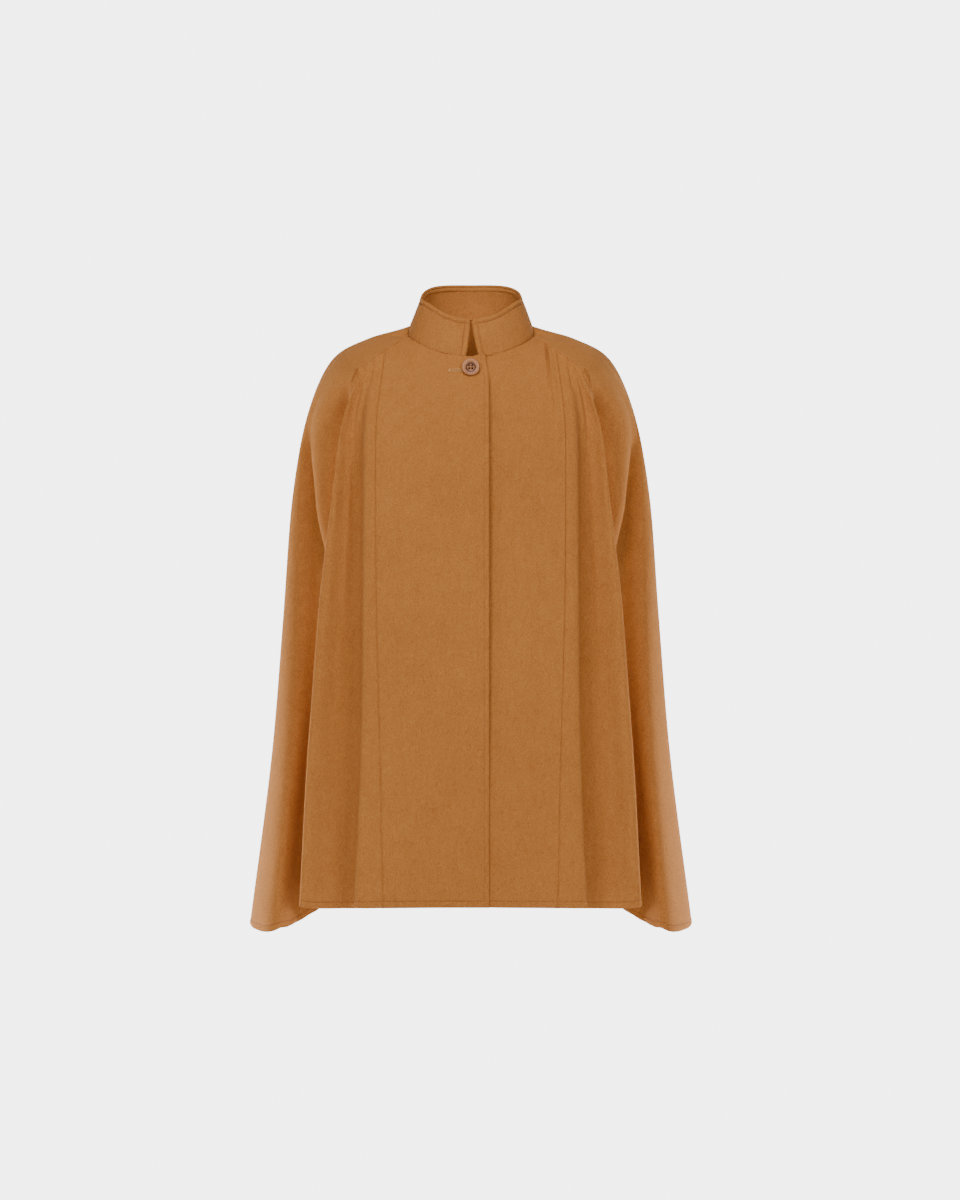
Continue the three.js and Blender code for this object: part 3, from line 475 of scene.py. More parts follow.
class Panel:
    """A piece of the cape between two fold lines, with its seams, hem, stitches and creases.

    low and high are the lines of its two long edges, top its first station; hand is +1 for the wearer's
    left and -1 for the right, where the same cloth is mirrored."""

    def __init__(self, name, low, high, top, hand, u_range, seams=(True, True)):
        self.name, self.low, self.high, self.top, self.hand = name, low, high, top, hand
        self.u_range, self.seams = u_range, seams

    def normals(self, u, station):
        """Outward directions; over the shoulder they are measured behind the raglan seam alone."""
        if self.top < 0:
            above = normal_at(u, station, (RAGLAN_SEAM, self.u_range[1]), (self.top, 0))
            below = normal_at(u, np.maximum(station, 0), self.u_range, (0, HEM_STATION))
            return np.where((station < 0)[..., None], above, below)
        return normal_at(u, station, self.u_range, (self.top, HEM_STATION))

    def shape(self, u, station):
        """The smooth outer face before seams and creases, its hem let down a little at HEM_DROPS."""
        p = surface(u, station)
        drop = sum(deep * np.exp(-((u - middle) / reach) ** 4) for middle, reach, deep in HEM_DROPS)
        p[..., 2] -= drop * ease((station - HEM_DROPS_FROM) / (HEM_STATION - HEM_DROPS_FROM))
        return p, self.normals(u, station)

    def edges(self, u, station):
        """Distances in millimetres to the low edge, the high edge, the top and the hem."""
        low = np.full_like(station, 1e3) if self.low is None else (
            np.abs(u - self.low) * speed(np.full_like(u, self.low), station, 1, 0))
        high = np.full_like(station, 1e3) if self.high is None else (
            np.abs(self.high - u) * speed(np.full_like(u, self.high), station, -1, 0))
        top = (station - self.top) * speed(u, np.full_like(station, self.top), 0, 1)
        hem = (HEM_STATION - station) * speed(u, np.full_like(station, HEM_STATION), 0, -1)
        return low, high, top, hem

    def place(self, u, station):
        """The finished outer face at u and station, and its outward direction."""
        u, station = np.broadcast_arrays(np.asarray(u, float), np.asarray(station, float))
        p, n = self.shape(u, station)
        low, high, top, hem = self.edges(u, station)
        lift = turned_edge(hem, HEM_STITCH) + creases(u, station, self.hand)
        lift = lift + (seam_dip(top, 1.3, 2.0) if self.hand > 0 else seam_dip(top, 0.7, 1.8))
        if self.top < 0 and self.hand > 0 and self.low == RAGLAN_SEAM:
            lift = lift + seam_ridge(low, 0.45)
        lift = lift + (seam_dip(low) if self.seams[0] else 0) + (seam_dip(high) if self.seams[1] else 0)
        p = p + n * (lift + self.extra(u, station, low, high))[..., None]
        if self.hand < 0:
            p, n = p * [-1, 1, 1], n * [-1, 1, 1]
        return p, n

    def extra(self, u, station, low, high):
        """Height that only some panels have."""
        return 0.0

    def columns(self, station):
        """u of every column at one row of stations (columns x rows)."""
        inner = []
        cell = FINE_CELL if self.high == RAGLAN_SEAM else CELL
        steps = stretch_steps(self.low, self.high, max(self.top, 0), cell)
        for k, n in steps:
            inner += [k + j / n for j in range(n)]
        inner = inner[1:]
        first, last = 1 / steps[0][1], 1 / steps[-1][1]
        rows = [near_edge(self.low, station, mm, 1, first) for mm in NEAR_SEAM]
        rows += [np.full_like(station, u) for u in inner]
        rows += [near_edge(self.high, station, mm, -1, last) for mm in reversed(NEAR_SEAM)]
        return np.array(rows)

    def build(self):
        """The panel's outer face as a mesh, its rows closer together near the top and the hem."""
        spots = np.linspace(self.top, HEM_STATION, 60)
        middle_line = surface(np.full_like(spots, self.reference()), spots)
        length = float(np.linalg.norm(np.diff(middle_line, axis=0), axis=-1).sum())
        inner = np.linspace(self.top, HEM_STATION, int(length / ROW_STEP) + 2)[1:-1]
        step = inner[1] - inner[0]
        nominal = np.concatenate([np.full(len(NEAR_SEAM), self.top), inner[:-3],
                                  np.full(len(NEAR_HEM), HEM_STATION)])
        columns = self.columns(nominal)
        station = np.broadcast_to(nominal, columns.shape).copy()
        for j, mm in enumerate(NEAR_SEAM):
            rate = speed(columns[:, j], np.full(len(columns), self.top + 0.0), 0, 1)
            station[:, j] = self.top + np.minimum(mm / rate, mm / NEAR_ROWS_WIDE * step)
        for j, mm in enumerate(NEAR_HEM):
            row = len(nominal) - len(NEAR_HEM) + j
            rate = speed(columns[:, row], np.full(len(columns), HEM_STATION), 0, -1)
            station[:, row] = HEM_STATION - mm / rate
        points, _ = self.place(columns, station)
        return grid_mesh(self.name, points, self.hand > 0)

    def reference(self):
        """The u of the line that the panel's length is measured on."""
        return (self.low + self.high) / 2


def near_edge(line, station, mm, way, cell):
    """The u of a column so many millimetres from a fold line, kept inside the first cell."""
    rate = speed(np.full_like(station, line), station, way, 0)
    return line + way * np.minimum(mm / rate, mm / NEAR_COLUMNS_WIDE * cell)


def stretch_steps(low, high, top, cell):
    """How many columns each stretch between fold lines takes, from its widest row."""
    test = np.linspace(top, HEM_STATION, 9)
    steps = []
    k = low
    while k < high - 1e-9:
        end = min(math.floor(k) + 1, high)
        u = np.linspace(k, end, 7)
        grid = surface(u[:, None], test[None, :])
        longest = np.linalg.norm(np.diff(grid, axis=0), axis=-1).sum(0).max()
        steps.append((k, max(2, int(math.ceil(longest / cell)))))
        k = end
    return steps


def grid_mesh(name, points, flipped):
    """A bmesh grid whose vertices are moved to points (columns x rows x 3, in millimetres)."""
    columns, rows = points.shape[:2]
    bm = bmesh.new()
    bmesh.ops.create_grid(bm, x_segments=columns - 1, y_segments=rows - 1, size=1)
    for v in bm.verts:
        i = round((v.co.x + 1) / 2 * (columns - 1))
        j = round((v.co.y + 1) / 2 * (rows - 1))
        v.co = Vector(points[i, j] * MM)
    if flipped:
        bmesh.ops.reverse_faces(bm, faces=bm.faces)
    return mesh_object(name, bm)


def mesh_object(name, bm, smooth=True):
    """Turns a bmesh into an object of the scene."""
    mesh = bpy.data.meshes.new(name)
    for face in bm.faces:
        face.smooth = smooth
    bm.to_mesh(mesh)
    bm.free()
    obj = bpy.data.objects.new(name, mesh)
    bpy.context.scene.collection.objects.link(obj)
    return obj


def thicken(obj, mm):
    """Gives a piece's outer face its thickness, inwards."""
    shell = obj.modifiers.new("cloth", "SOLIDIFY")
    shell.thickness = mm * MM
    shell.offset = -1
    shell.use_even_offset = False
    return obj


class CentreFront(Panel):
    """A front from its lapped edge to the front seam; the over front has the raised corner."""

    def __init__(self, name, over):
        hand = -1 if over else 1
        super().__init__(name, None, FRONT_SEAM, 0.0, hand, (-2, FRONT_SEAM + 1), (False, True))
        self.over = over

    def shape(self, u, station):
        p, n = surface(u, station), self.normals(u, station)
        if self.over:
            share = np.clip(-p[..., 0] / overlap_at(station), 0, 1)
            rise = CORNER_RISE * share * (1 - ease(station * 4))
            p = p + rise[..., None] * np.array([0, 0, 1.0])
        else:
            p = p - n * under_step(p[..., 0])[..., None]
        return p, n

    def extra(self, u, station, low, high):
        edge = overlap_at(station) + surface(u, station)[..., 0]
        lift = front_edge(edge) + seam_ridge(high, 0.5)
        if self.over:
            return lift + self.top_edge(u, station, edge)
        stood = ease(station * 1.6 - 0.2) * (1 - ease((station - 2.6) / 2))
        lift = lift - UNDER_STAND * stood * (1 - ease((edge - 2 * OVERLAP) / UNDER_FADE))
        return lift + self.tuck(u, station)

    def top_edge(self, u, station, edge):
        """The ridge along the over front's top, where the collar leaves it bare."""
        top = station * speed(u, np.zeros_like(station), 0, 1)
        bare = 1 - ease((np.abs(edge - OVERLAP_AT_NECK) - TOP_RIDGE_CLEAR) / 8)
        return TOP_RIDGE * bare * np.exp(-((top - 2.3) / 1.5) ** 2)

    def tuck(self, u, station):
        """The under front's short tuck: a groove, the swell beside it and a hollow as it ends."""
        off = (u - SHOULDER_POINT - TUCK["at"]) * TUCK["unit"]
        groove = -TUCK["deep"] * np.exp(-(off / TUCK["narrow"]) ** 2)
        swell = TUCK["swell"] * np.exp(-((off - TUCK["aside"]) / TUCK["broad"]) ** 2) * (off > 0)
        fade = ease(station * 14) * (1 - ease(station / TUCK["reach"]))
        hollow = TUCK["hollow"] * np.exp(-((off + 2) / 6) ** 2) * ease(station * 2 - 0.6)
        return fade * (groove * (1 - ease(station * 1.1 - 0.1)) + swell * ease(off / TUCK["aside"]) + hollow)

    def columns(self, station):
        rows = []
        for mm in LAP_COLUMNS:
            across = overlap_at(station) * (1 - mm / OVERLAP)
            rows.append(-u_at_across(across, station))
        steps = stretch_steps(0, FRONT_SEAM, 0, CELL)
        inner = []
        for k, n in steps:
            n = max(n, TUCK_COLUMNS) if k == SHOULDER_POINT else n
            inner += [k + j / n for j in range(n)]
        rows += [np.full_like(station, u) for u in inner]
        last = 1 / steps[-1][1]
        rows += [near_edge(self.high, station, mm, -1, last) for mm in reversed(NEAR_SEAM)]
        return np.array(rows)

    def reference(self):
        return 1.0


def collar_place(share, v):
    """The collar's outer face: share runs round from its left end to its right end, v up its height."""
    share, v = np.broadcast_arrays(np.asarray(share, float), np.asarray(v, float))

    def end_deg(end):
        across = end["bottom"] + (end["top"] - end["bottom"]) * np.clip(v, 0, 1) ** 0.6
        radius = NECK_HALF_WIDTH + (COLLAR_TOP["half_width"] - NECK_HALF_WIDTH) * v
        return np.degrees(np.arcsin(across / radius))

    deg = end_deg(COLLAR_ENDS["left"]) * (1 - share) + (360 + end_deg(COLLAR_ENDS["right"])) * share
    half = np.where(deg > 180, 360 - deg, deg)
    side = np.where(deg > 180, -1, 1) * np.where(half < 0, -1, 1)
    half = np.abs(half)
    p = neck_point(half) * (1 - v)[..., None] + collar_top_point(half) * v[..., None]
    p = p * np.stack([side, np.ones_like(side), np.ones_like(side)], -1)
    out = p * np.array([1 / NECK_HALF_WIDTH, 1 / NECK_FRONT, 0])
    out = out / np.linalg.norm(out, axis=-1, keepdims=True)
    under = np.where(side > 0, under_step(p[..., 0]) * (1 - ease(v * 1.6)), 0)
    bow = COLLAR_BELLY * 4 * v * (1 - v) - under
    sunk = np.clip(1 - v * COLLAR_TALL / 3, 0, 1) ** 2
    return p + out * (bow - 0.8 * sunk)[..., None] - np.array([0, 0, 1.6]) * sunk[..., None]


def collar_at(share, v):
    """The collar's finished outer face with its edges and soft waves, and its outward direction."""
    share, v = np.broadcast_arrays(np.asarray(share, float), np.asarray(v, float))
    p = collar_place(share, v)
    across = (collar_place(np.minimum(share + COLLAR_NUDGE_ROUND, 1), v)
              - collar_place(np.maximum(share - COLLAR_NUDGE_ROUND, 0), v))
    up = (collar_place(share, np.minimum(v + COLLAR_NUDGE_UP, 1))
          - collar_place(share, np.maximum(v - COLLAR_NUDGE_UP, 0)))
    n = np.cross(across, up)
    n = n / np.linalg.norm(n, axis=-1, keepdims=True)
    leg = collar_place(share, np.ones_like(v)) - collar_place(share, np.zeros_like(v))
    tall = np.linalg.norm(leg, axis=-1)
    ends = np.minimum(share, 1 - share) * COLLAR_ROUND
    lift = sum(turned_edge(d, COLLAR_STITCH, pinch=1.15, full=0.7) for d in ((1 - v) * tall, ends))
    lift = lift + seam_dip(v * tall, 0.3, 1.5)
    corner = np.clip(1 - ends / COLLAR_CORNER, 0, 1) ** 2 * ease(v * 1.4 - 0.4)
    p = p - np.array([0, 0, COLLAR_CORNER_DROP]) * corner[..., None]
    wave = 0.5 * np.sin(share * 23.0 + 1.3) * np.sin(v * 2.6) + 0.35 * np.sin(share * 41.0)
    return p + n * (lift + wave * ease(ends / 40) * ease(v * 3))[..., None], n


def collar_mesh():
    """The collar's outer face, its columns and rows closer together along the stitched edges."""
    edge = np.array(COLLAR_EDGE)
    cells = COLLAR_INNER
    inner = np.linspace(cells["from_end"], COLLAR_ROUND - cells["from_end"], cells["columns"])
    share = np.concatenate([edge, inner, COLLAR_ROUND - edge[::-1]]) / COLLAR_ROUND
    middle = np.linspace(cells["from_base"], COLLAR_TALL - cells["from_top"], cells["rows"])
    v = np.concatenate([COLLAR_BASE, middle, COLLAR_TALL - edge[::-1]]) / COLLAR_TALL
    points, _ = collar_at(share[:, None], v[None, :])
    return grid_mesh("collar_cloth", points, False)


def joined_mesh(name, parts):
    """One mesh object from many stitches, each a list of vertices and one of faces."""
    vertices, faces = [], []
    for part_vertices, part_faces in parts:
        start = len(vertices)
        vertices += part_vertices
        faces += [tuple(start + k for k in face) for face in part_faces]
    mesh = bpy.data.meshes.new(name)
    mesh.from_pydata(vertices, [], faces)
    for face in mesh.polygons:
        face.use_smooth = True
    obj = bpy.data.objects.new(name, mesh)
    bpy.context.scene.collection.objects.link(obj)
    return obj


def bead_template():
    """A small ball, as unit vertices and faces, that is stretched into each stitch."""
    bm = bmesh.new()
    bmesh.ops.create_uvsphere(bm, u_segments=6, v_segments=4, radius=1)
    bm.verts.ensure_lookup_table()
    vertices = np.array([v.co for v in bm.verts])
    faces = [tuple(v.index for v in f.verts) for f in bm.faces]
    bm.free()
    return vertices, faces


BEAD = bead_template()


def stitch(centre, way, normal, long, wide, high):
    """A stitch lying along way, sunk by half into the cloth."""
    across = np.cross(normal, way)
    across /= np.linalg.norm(across)
    axes = np.stack([across * wide / 2, normal * high / 2, way * long / 2])
    vertices = (centre + BEAD[0] @ axes) * MM
    return [tuple(v) for v in vertices], BEAD[1]


def resample(points, normals, pitch):
    """Evenly spaced places along a row of points, with the normal and the way ahead at each."""
    ahead = 0.4
    legs = np.linalg.norm(np.diff(points, axis=0), axis=-1)
    reach = np.concatenate([[0], np.cumsum(legs)])
    count = max(2, int(reach[-1] / pitch))
    wanted = (np.arange(count) + 0.5) * reach[-1] / count

    def sample(at, values):
        return np.stack([np.interp(at, reach, values[:, axis]) for axis in range(3)], -1)

    p, n = sample(wanted, points), sample(wanted, normals)
    w = sample(wanted + ahead, points) - sample(wanted - ahead, points)
    w /= np.linalg.norm(w, axis=-1, keepdims=True) + 1e-9
    n -= w * (n * w).sum(-1, keepdims=True)
    n /= np.linalg.norm(n, axis=-1, keepdims=True)
    return p, n, w


def stitch_row(points, normals, rng):
    """A row of topstitching along the points, each stitch a slightly different length."""
    p, n, w = resample(points, normals, STITCH_PITCH)
    return [stitch(p[k] + n[k] * STITCH_PROUD, w[k], n[k], STITCH_LONG * rng.uniform(0.93, 1.04),
                   STITCH_THICK, STITCH_THICK)
            for k in range(len(p))]


def hem_row(panel, low, high):
    """The line of the hem's stitches across a panel."""
    u = np.linspace(low, high, 500)
    rate = speed(u, np.full_like(u, HEM_STATION), 0, -1)
    return panel.place(u, HEM_STATION - HEM_STITCH / rate)


def yoke_row(panel, low, high):
    """Stitches just under the raglan seam, along the top of a side front."""
    u = np.linspace(low, high, 120)
    return panel.place(u, YOKE_STITCH / speed(u, np.zeros_like(u), 0, 1))


def lap_row(panel):
    """The line of stitches down a front's edge, ending at the hem's row."""
    station = np.linspace(0.03, HEM_STATION, 700)
    across = overlap_at(station) - EDGE_STITCH
    u = -u_at_across(across, station)
    points, normals = panel.place(u, station)
    keep = points[:, 2] > HEIGHTS["front"][-1] + HEM_STITCH
    return points[keep], normals[keep]


def collar_rows():
    """Stitching up the left end, round the top and down the right end."""
    inset, rise = COLLAR_STITCH / COLLAR_ROUND, 1 - COLLAR_STITCH / COLLAR_TALL
    up = np.linspace(0.03, rise, 60)
    across = np.linspace(inset, 1 - inset, 500)
    share = np.concatenate([np.full_like(up, inset), across, np.full_like(up, 1 - inset)])
    v = np.concatenate([up, np.full_like(across, rise), up[::-1]])
    return collar_at(share, v)


def circle(bm, radius, height, segments, middle=(0, 0)):
    """A ring of vertices round the y axis, or round a line beside it."""
    turns = [2 * math.pi * k / segments for k in range(segments)]
    return [bm.verts.new((middle[0] + radius * math.cos(a), height, middle[1] + radius * math.sin(a)))
            for a in turns]


def button_mesh():
    """A turned four-hole button: a rounded rim round a dished middle, its back on the plane y = 0."""
    bm = bmesh.new()
    rings = [circle(bm, radius, height, BUTTON_SEGMENTS) for radius, height in BUTTON_BACK + BUTTON_FACE]
    for a, b in zip(rings, rings[1:]):
        for k in range(BUTTON_SEGMENTS):
            after = (k + 1) % BUTTON_SEGMENTS
            bm.faces.new((a[k], a[after], b[after], b[k]))
    for ring, (_, height) in ((rings[-1], BUTTON_FACE[-1]), (rings[0], BUTTON_BACK[0])):
        edges = [bm.edges.get((a, b)) for a, b in zip(ring, ring[1:] + ring[:1])]
        for hole in HOLES:
            loop = circle(bm, HOLE_RADIUS, height, HOLE_SEGMENTS, hole)
            edges += [bm.edges.new((a, b)) for a, b in zip(loop, loop[1:] + loop[:1])]
        bmesh.ops.triangle_fill(bm, edges=edges, use_beauty=True, use_dissolve=False)
    open_loops = [e for e in bm.edges if e.is_boundary]
    walls = bmesh.ops.bridge_loops(bm, edges=open_loops, use_pairs=True)["faces"]
    # The holes' walls take the second material, near-black painted shade
    for face in walls:
        face.material_index = 1
    bmesh.ops.recalc_face_normals(bm, faces=bm.faces)
    bm.transform(Matrix.Scale(MM, 4))
    return mesh_object("button_turned", bm)


# Materials
class Value:
    """Wraps a shader socket so that its maths reads as Python."""

    def __init__(self, tree, socket):
        self.tree, self.socket = tree, socket

    def _math(self, operation, a, b):
        node = self.tree.node("ShaderNodeMath", operation=operation)
        self.tree.feed(node.inputs[0], a)
        self.tree.feed(node.inputs[1], b)
        return Value(self.tree, node.outputs[0])

    def __add__(self, other):
        return self._math("ADD", self, other)

    def __radd__(self, other):
        return self._math("ADD", other, self)

    def __sub__(self, other):
        return self._math("SUBTRACT", self, other)

    def __rsub__(self, other):
        return self._math("SUBTRACT", other, self)

    def __mul__(self, other):
        return self._math("MULTIPLY", self, other)

    def __rmul__(self, other):
        return self._math("MULTIPLY", other, self)

    def __truediv__(self, other):
        return self._math("DIVIDE", self, other)

    def __rtruediv__(self, other):
        return self._math("DIVIDE", other, self)

    def __pow__(self, other):
        return self._math("POWER", self, other)

    def clamp(self):
        """The value kept between 0 and 1."""
        return self._math("MINIMUM", self._math("MAXIMUM", self, 0.0), 1.0)


# The sockets of a Mix node that holds colours
MIX_FACTOR, MIX_A, MIX_B, MIX_RESULT = 0, 6, 7, 2


class Shade:
    """One material's node tree."""

    def __init__(self, name):
        self.material = bpy.data.materials.new(name)
        self.material.use_nodes = True
        self.tree = self.material.node_tree
        self.shader = self.tree.nodes["Principled BSDF"]
        self.place = self.node("ShaderNodeTexCoord").outputs["Object"]

    def node(self, kind, **settings):
        """A new node of a type, with its settings."""
        node = self.tree.nodes.new(kind)
        for name, value in settings.items():
            setattr(node, name, value)
        return node

    def feed(self, socket, value):
        """Links a value to a socket, or sets a number or colour on it."""
        if isinstance(value, Value):
            value = value.socket
        if isinstance(value, bpy.types.NodeSocket):
            self.tree.links.new(value, socket)
        else:
            socket.default_value = value

    def noise(self, scale, detail=2.0, rough=0.5, stretch=(1, 1, 1), distortion=0.0):
        """Noise on Object coordinates; a stretch under 1 draws it out along that axis."""
        mapping = self.node("ShaderNodeMapping")
        self.feed(mapping.inputs["Vector"], self.place)
        self.feed(mapping.inputs["Scale"], stretch)
        node = self.node("ShaderNodeTexNoise")
        self.feed(node.inputs["Vector"], mapping.outputs["Vector"])
        settings = {"Scale": scale, "Detail": detail, "Roughness": rough, "Distortion": distortion}
        for name, value in settings.items():
            self.feed(node.inputs[name], value)
        return Value(self, node.outputs[0])

    def blend(self, factor, a, b):
        """Colour a, turning to colour b as the factor goes from 0 to 1."""
        node = self.node("ShaderNodeMix", data_type="RGBA")
        for socket, value in ((MIX_FACTOR, factor), (MIX_A, a), (MIX_B, b)):
            self.feed(node.inputs[socket], value)
        return node.outputs[MIX_RESULT]

    def bump(self, height, distance, strength=1.0, below=None):
        """A Normal with this relief, added to the one below it."""
        node = self.node("ShaderNodeBump")
        self.feed(node.inputs["Height"], height)
        self.feed(node.inputs["Distance"], distance)
        self.feed(node.inputs["Strength"], strength)
        if below is not None:
            self.feed(node.inputs["Normal"], below)
        return node.outputs["Normal"]

    def set(self, **sockets):
        """Feeds the shader's own sockets, named with _ for a space."""
        for name, value in sockets.items():
            self.feed(self.shader.inputs[name.replace("_", " ")], value)


def linear(r, g, b):
    """The linear colour of 0-255 screen values."""
    def one(c):
        c /= 255
        return c / 12.92 if c <= 0.04045 else ((c + 0.055) / 1.055) ** 2.4

    return (one(r), one(g), one(b), 1.0)


def melton(name, base, light, dark):
    """Milled and napped coat wool: a felted face with a short downward nap, faintly mottled."""
    wool = Shade(name)
    grain = wool.noise(760, 3, 0.7, (1, 1, 0.6))
    fibre = wool.noise(1500, 2, 0.6, (1, 1, 0.22), 0.6)
    brushed = wool.noise(190, 3, 0.6, (1, 1, 0.16), 0.3)
    cloud = wool.noise(38, 4, 0.6)
    broad = wool.noise(4.5, 2, 0.5)
    wear = wool.noise(11, 3, 0.6, (1, 1, 0.35))
    tone = (cloud - 0.5) * 0.25 + (grain - 0.5) * 2.0 + (broad - 0.5) * 0.3 + (fibre - 0.5) * 0.8
    colour = wool.blend((tone + (brushed - 0.5) * 0.35 + 0.5).clamp(), dark, light)
    colour = wool.blend(((wear - 0.56) * 2.2).clamp() * 0.16, colour, base)
    nap = wool.bump(cloud * 0.6 + wear * 0.4, 0.0009, 0.5)
    nap = wool.bump(grain, 0.0007, 0.8, nap)
    nap = wool.bump(fibre, 0.0003, 0.8, nap)
    wool.set(Base_Color=colour, Roughness=(cloud * 0.1 + 0.88), Normal=nap, Sheen_Weight=0.22,
             Sheen_Roughness=0.4, Sheen_Tint=linear(240, 186, 120), Specular_IOR_Level=0.12)
    return wool.material


def horn_material(name, centre):
    """A polished brown button, streaked, with painted shade at the foot of the dish's rim, a painted
    highlight near the edge and painted shade on the lower right of its side.
    """
    horn = Shade(name)
    streak = horn.noise(160, 4, 0.6, (0.35, 1, 1), 1.2)
    speck = horn.noise(1400, 2, 0.5)
    parts = horn.node("ShaderNodeSeparateXYZ")
    horn.feed(parts.inputs["Vector"], horn.place)
    across, up = (Value(horn, parts.outputs[k]) - float(centre[k]) for k in (0, 2))
    ring = (across * across + up * up) ** 0.5 / MM
    colour = horn.blend((streak * 1.6 - 0.3).clamp(), linear(142, 84, 48), linear(190, 126, 82))
    colour = horn.blend(((speck - 0.62) * 4).clamp() * 0.35, colour, linear(104, 58, 34))
    # Painted shade: a dark ring at the foot of the dish, where the rim's shadow falls
    foot = (1 - ((ring - SHADED_DISH_FOOT) / 1.3) ** 2).clamp()
    colour = horn.blend(foot * 0.96, colour, linear(46, 18, 8))
    # Painted highlight: a pale ring near the rim's edge, where the light glints
    edge = (1 - ((ring - HIGHLIGHT_EDGE) / 1.2) ** 2).clamp()
    colour = horn.blend(edge * 0.5, colour, linear(216, 142, 92))
    # Painted shade: the outer side darkened towards the lower right, away from the light
    shaded = (across * 40 - up * 75 + 0.35).clamp()
    side = ((ring - SHADED_SIDE) * 2.5).clamp()
    colour = horn.blend(side * shaded, colour, linear(56, 20, 8))
    horn.set(Base_Color=colour, Roughness=(streak * 0.2 + 0.34), Normal=horn.bump(speck, 0.00008, 0.4),
             Specular_IOR_Level=0.4)
    return horn.material


def painted_shade_material(name):
    """The walls of the button's holes and the thread knots in them, near-black with painted shade for the
    shadow inside the holes.
    """
    hole = Shade(name)
    lint = hole.noise(2200, 2, 0.6)
    hole.set(Base_Color=hole.blend(lint, linear(8, 3, 1), linear(20, 8, 4)), Roughness=(lint * 0.2 + 0.75),
             Normal=hole.bump(lint, 0.0001, 0.5))
    return hole.material


def thread_material(name, colour, shade):
    """Twisted sewing thread."""
    thread = Shade(name)
    twist = thread.noise(2600, 1, 0.5, (1, 1, 1), 1.0)
    mixed = thread.blend(twist, shade, colour)
    thread.set(Base_Color=mixed, Roughness=(twist * 0.2 + 0.6), Normal=thread.bump(twist, 0.0002, 0.6),
               Sheen_Weight=0.2, Sheen_Roughness=0.4)
    return thread.material


def paper_material(name, value):
    """The floor's paper: pale to the light, and seen white by the camera."""
    paper = Shade(name)
    grain = paper.noise(30, 2)
    warm = (value * 0.99, value * 0.99, value * 0.985, 1)
    paper.set(Base_Color=paper.blend(grain, (value, value, value, 1), warm), Roughness=0.9)
    glow = paper.node("ShaderNodeEmission")
    glow.inputs["Strength"].default_value = SEEN_WHITE
    mix = paper.node("ShaderNodeMixShader")
    paper.feed(mix.inputs[0], paper.node("ShaderNodeLightPath").outputs["Is Camera Ray"])
    paper.feed(mix.inputs[1], paper.shader.outputs[0])
    paper.feed(mix.inputs[2], glow.outputs[0])
    paper.feed(paper.tree.nodes["Material Output"].inputs["Surface"], mix.outputs[0])
    return paper.material


# The pieces
def sided(hand, word):
    """A name with the wearer's side before it."""
    return ("left_" if hand > 0 else "right_") + word


rng = random.Random(7)
cloth_material = melton("camel_wool", linear(180, 113, 52), linear(197, 130, 67), linear(156, 92, 38))
collar_material = melton("camel_wool_collar", linear(180, 114, 53), linear(196, 130, 68), linear(157, 93, 39))
stitch_material = thread_material("stitching_thread", linear(150, 86, 34), linear(116, 62, 22))
tan_thread = thread_material("buttonhole_thread", linear(224, 166, 96), linear(196, 136, 70))

panels = {
    "right_centre_front": CentreFront("right_centre_front_cloth", True),
    "left_centre_front": CentreFront("left_centre_front_cloth", False),
}
for hand in (-1, 1):
    panels[sided(hand, "side_front")] = Panel(
        sided(hand, "side_front_cloth"), FRONT_SEAM, RAGLAN_SEAM, 0.0, hand,
        (FRONT_SEAM - 1, RAGLAN_SEAM + 1))
    panels[sided(hand, "raglan_panel")] = Panel(
        sided(hand, "raglan_panel_cloth"), RAGLAN_SEAM, BACK_SEAM, NECK_STATION, hand,
        (RAGLAN_SEAM - 1, BACK_SEAM + 1))
FAR_SEAM = 2 * CENTRE_BACK - BACK_SEAM
panels["back_panel"] = Panel("back_panel_cloth", BACK_SEAM, FAR_SEAM, NECK_STATION, 1,
                             (BACK_SEAM - 1, FAR_SEAM + 1))

# Every piece of cloth, by the node that it stands for
pieces = {}
for node, panel in panels.items():
    cloth = thicken(panel.build(), CLOTH)
    cloth.data.materials.append(cloth_material)
    pieces[node] = cloth
collar = thicken(collar_mesh(), COLLAR_CLOTH)
collar.data.materials.append(collar_material)
pieces["collar"] = collar

rows = []
for node, panel in panels.items():
    if node.endswith("centre_front"):
        rows += stitch_row(*hem_row(panel, CENTRE_ROW_FROM, FRONT_SEAM - CENTRE_ROW_SHORT), rng)
        rows += stitch_row(*lap_row(panel), rng)
    else:
        rows += stitch_row(*hem_row(panel, panel.low + PANEL_ROW_SHORT, panel.high - PANEL_ROW_SHORT), rng)
    if node.endswith("side_front"):
        rows += stitch_row(*yoke_row(panel, FRONT_SEAM + YOKE_ROW_INSET, RAGLAN_SEAM - YOKE_ROW_SHORT), rng)
rows += stitch_row(*collar_rows(), rng)
sewing = joined_mesh("edge_stitching", rows)
sewing.data.materials.append(stitch_material)

# The place on the over front's centre line that the button is sewn through, by its drop
over = panels["right_centre_front"]
spots = np.linspace(0.2, 0.9, 400)
centre_heights = surface(np.zeros_like(spots), spots)[:, 2]
button_station = float(np.interp(BUTTON_DROP, -centre_heights, spots))
foot = surface(np.array([0.0]), np.array([button_station]))[0]
facing = normal_at(np.array([0.0]), np.array([button_station]), (-1, 1), (0, HEM_STATION))[0]
button_middle = foot + facing * BUTTON_OFF

# The button nods on its thread, so that it faces the camera more than the cloth does
nodded = facing + BUTTON_NOD * np.array([0, -1.0, 0])
nodded /= np.linalg.norm(nodded)
turn = Vector((0, 1, 0)).rotation_difference(Vector(nodded)).to_matrix().to_4x4()
button = button_mesh()
button.data.transform(Matrix.Translation(Vector(button_middle * MM)) @ turn)
button.data.materials.append(horn_material("horn", button_middle * MM))
button.data.materials.append(painted_shade_material("hole_shade"))


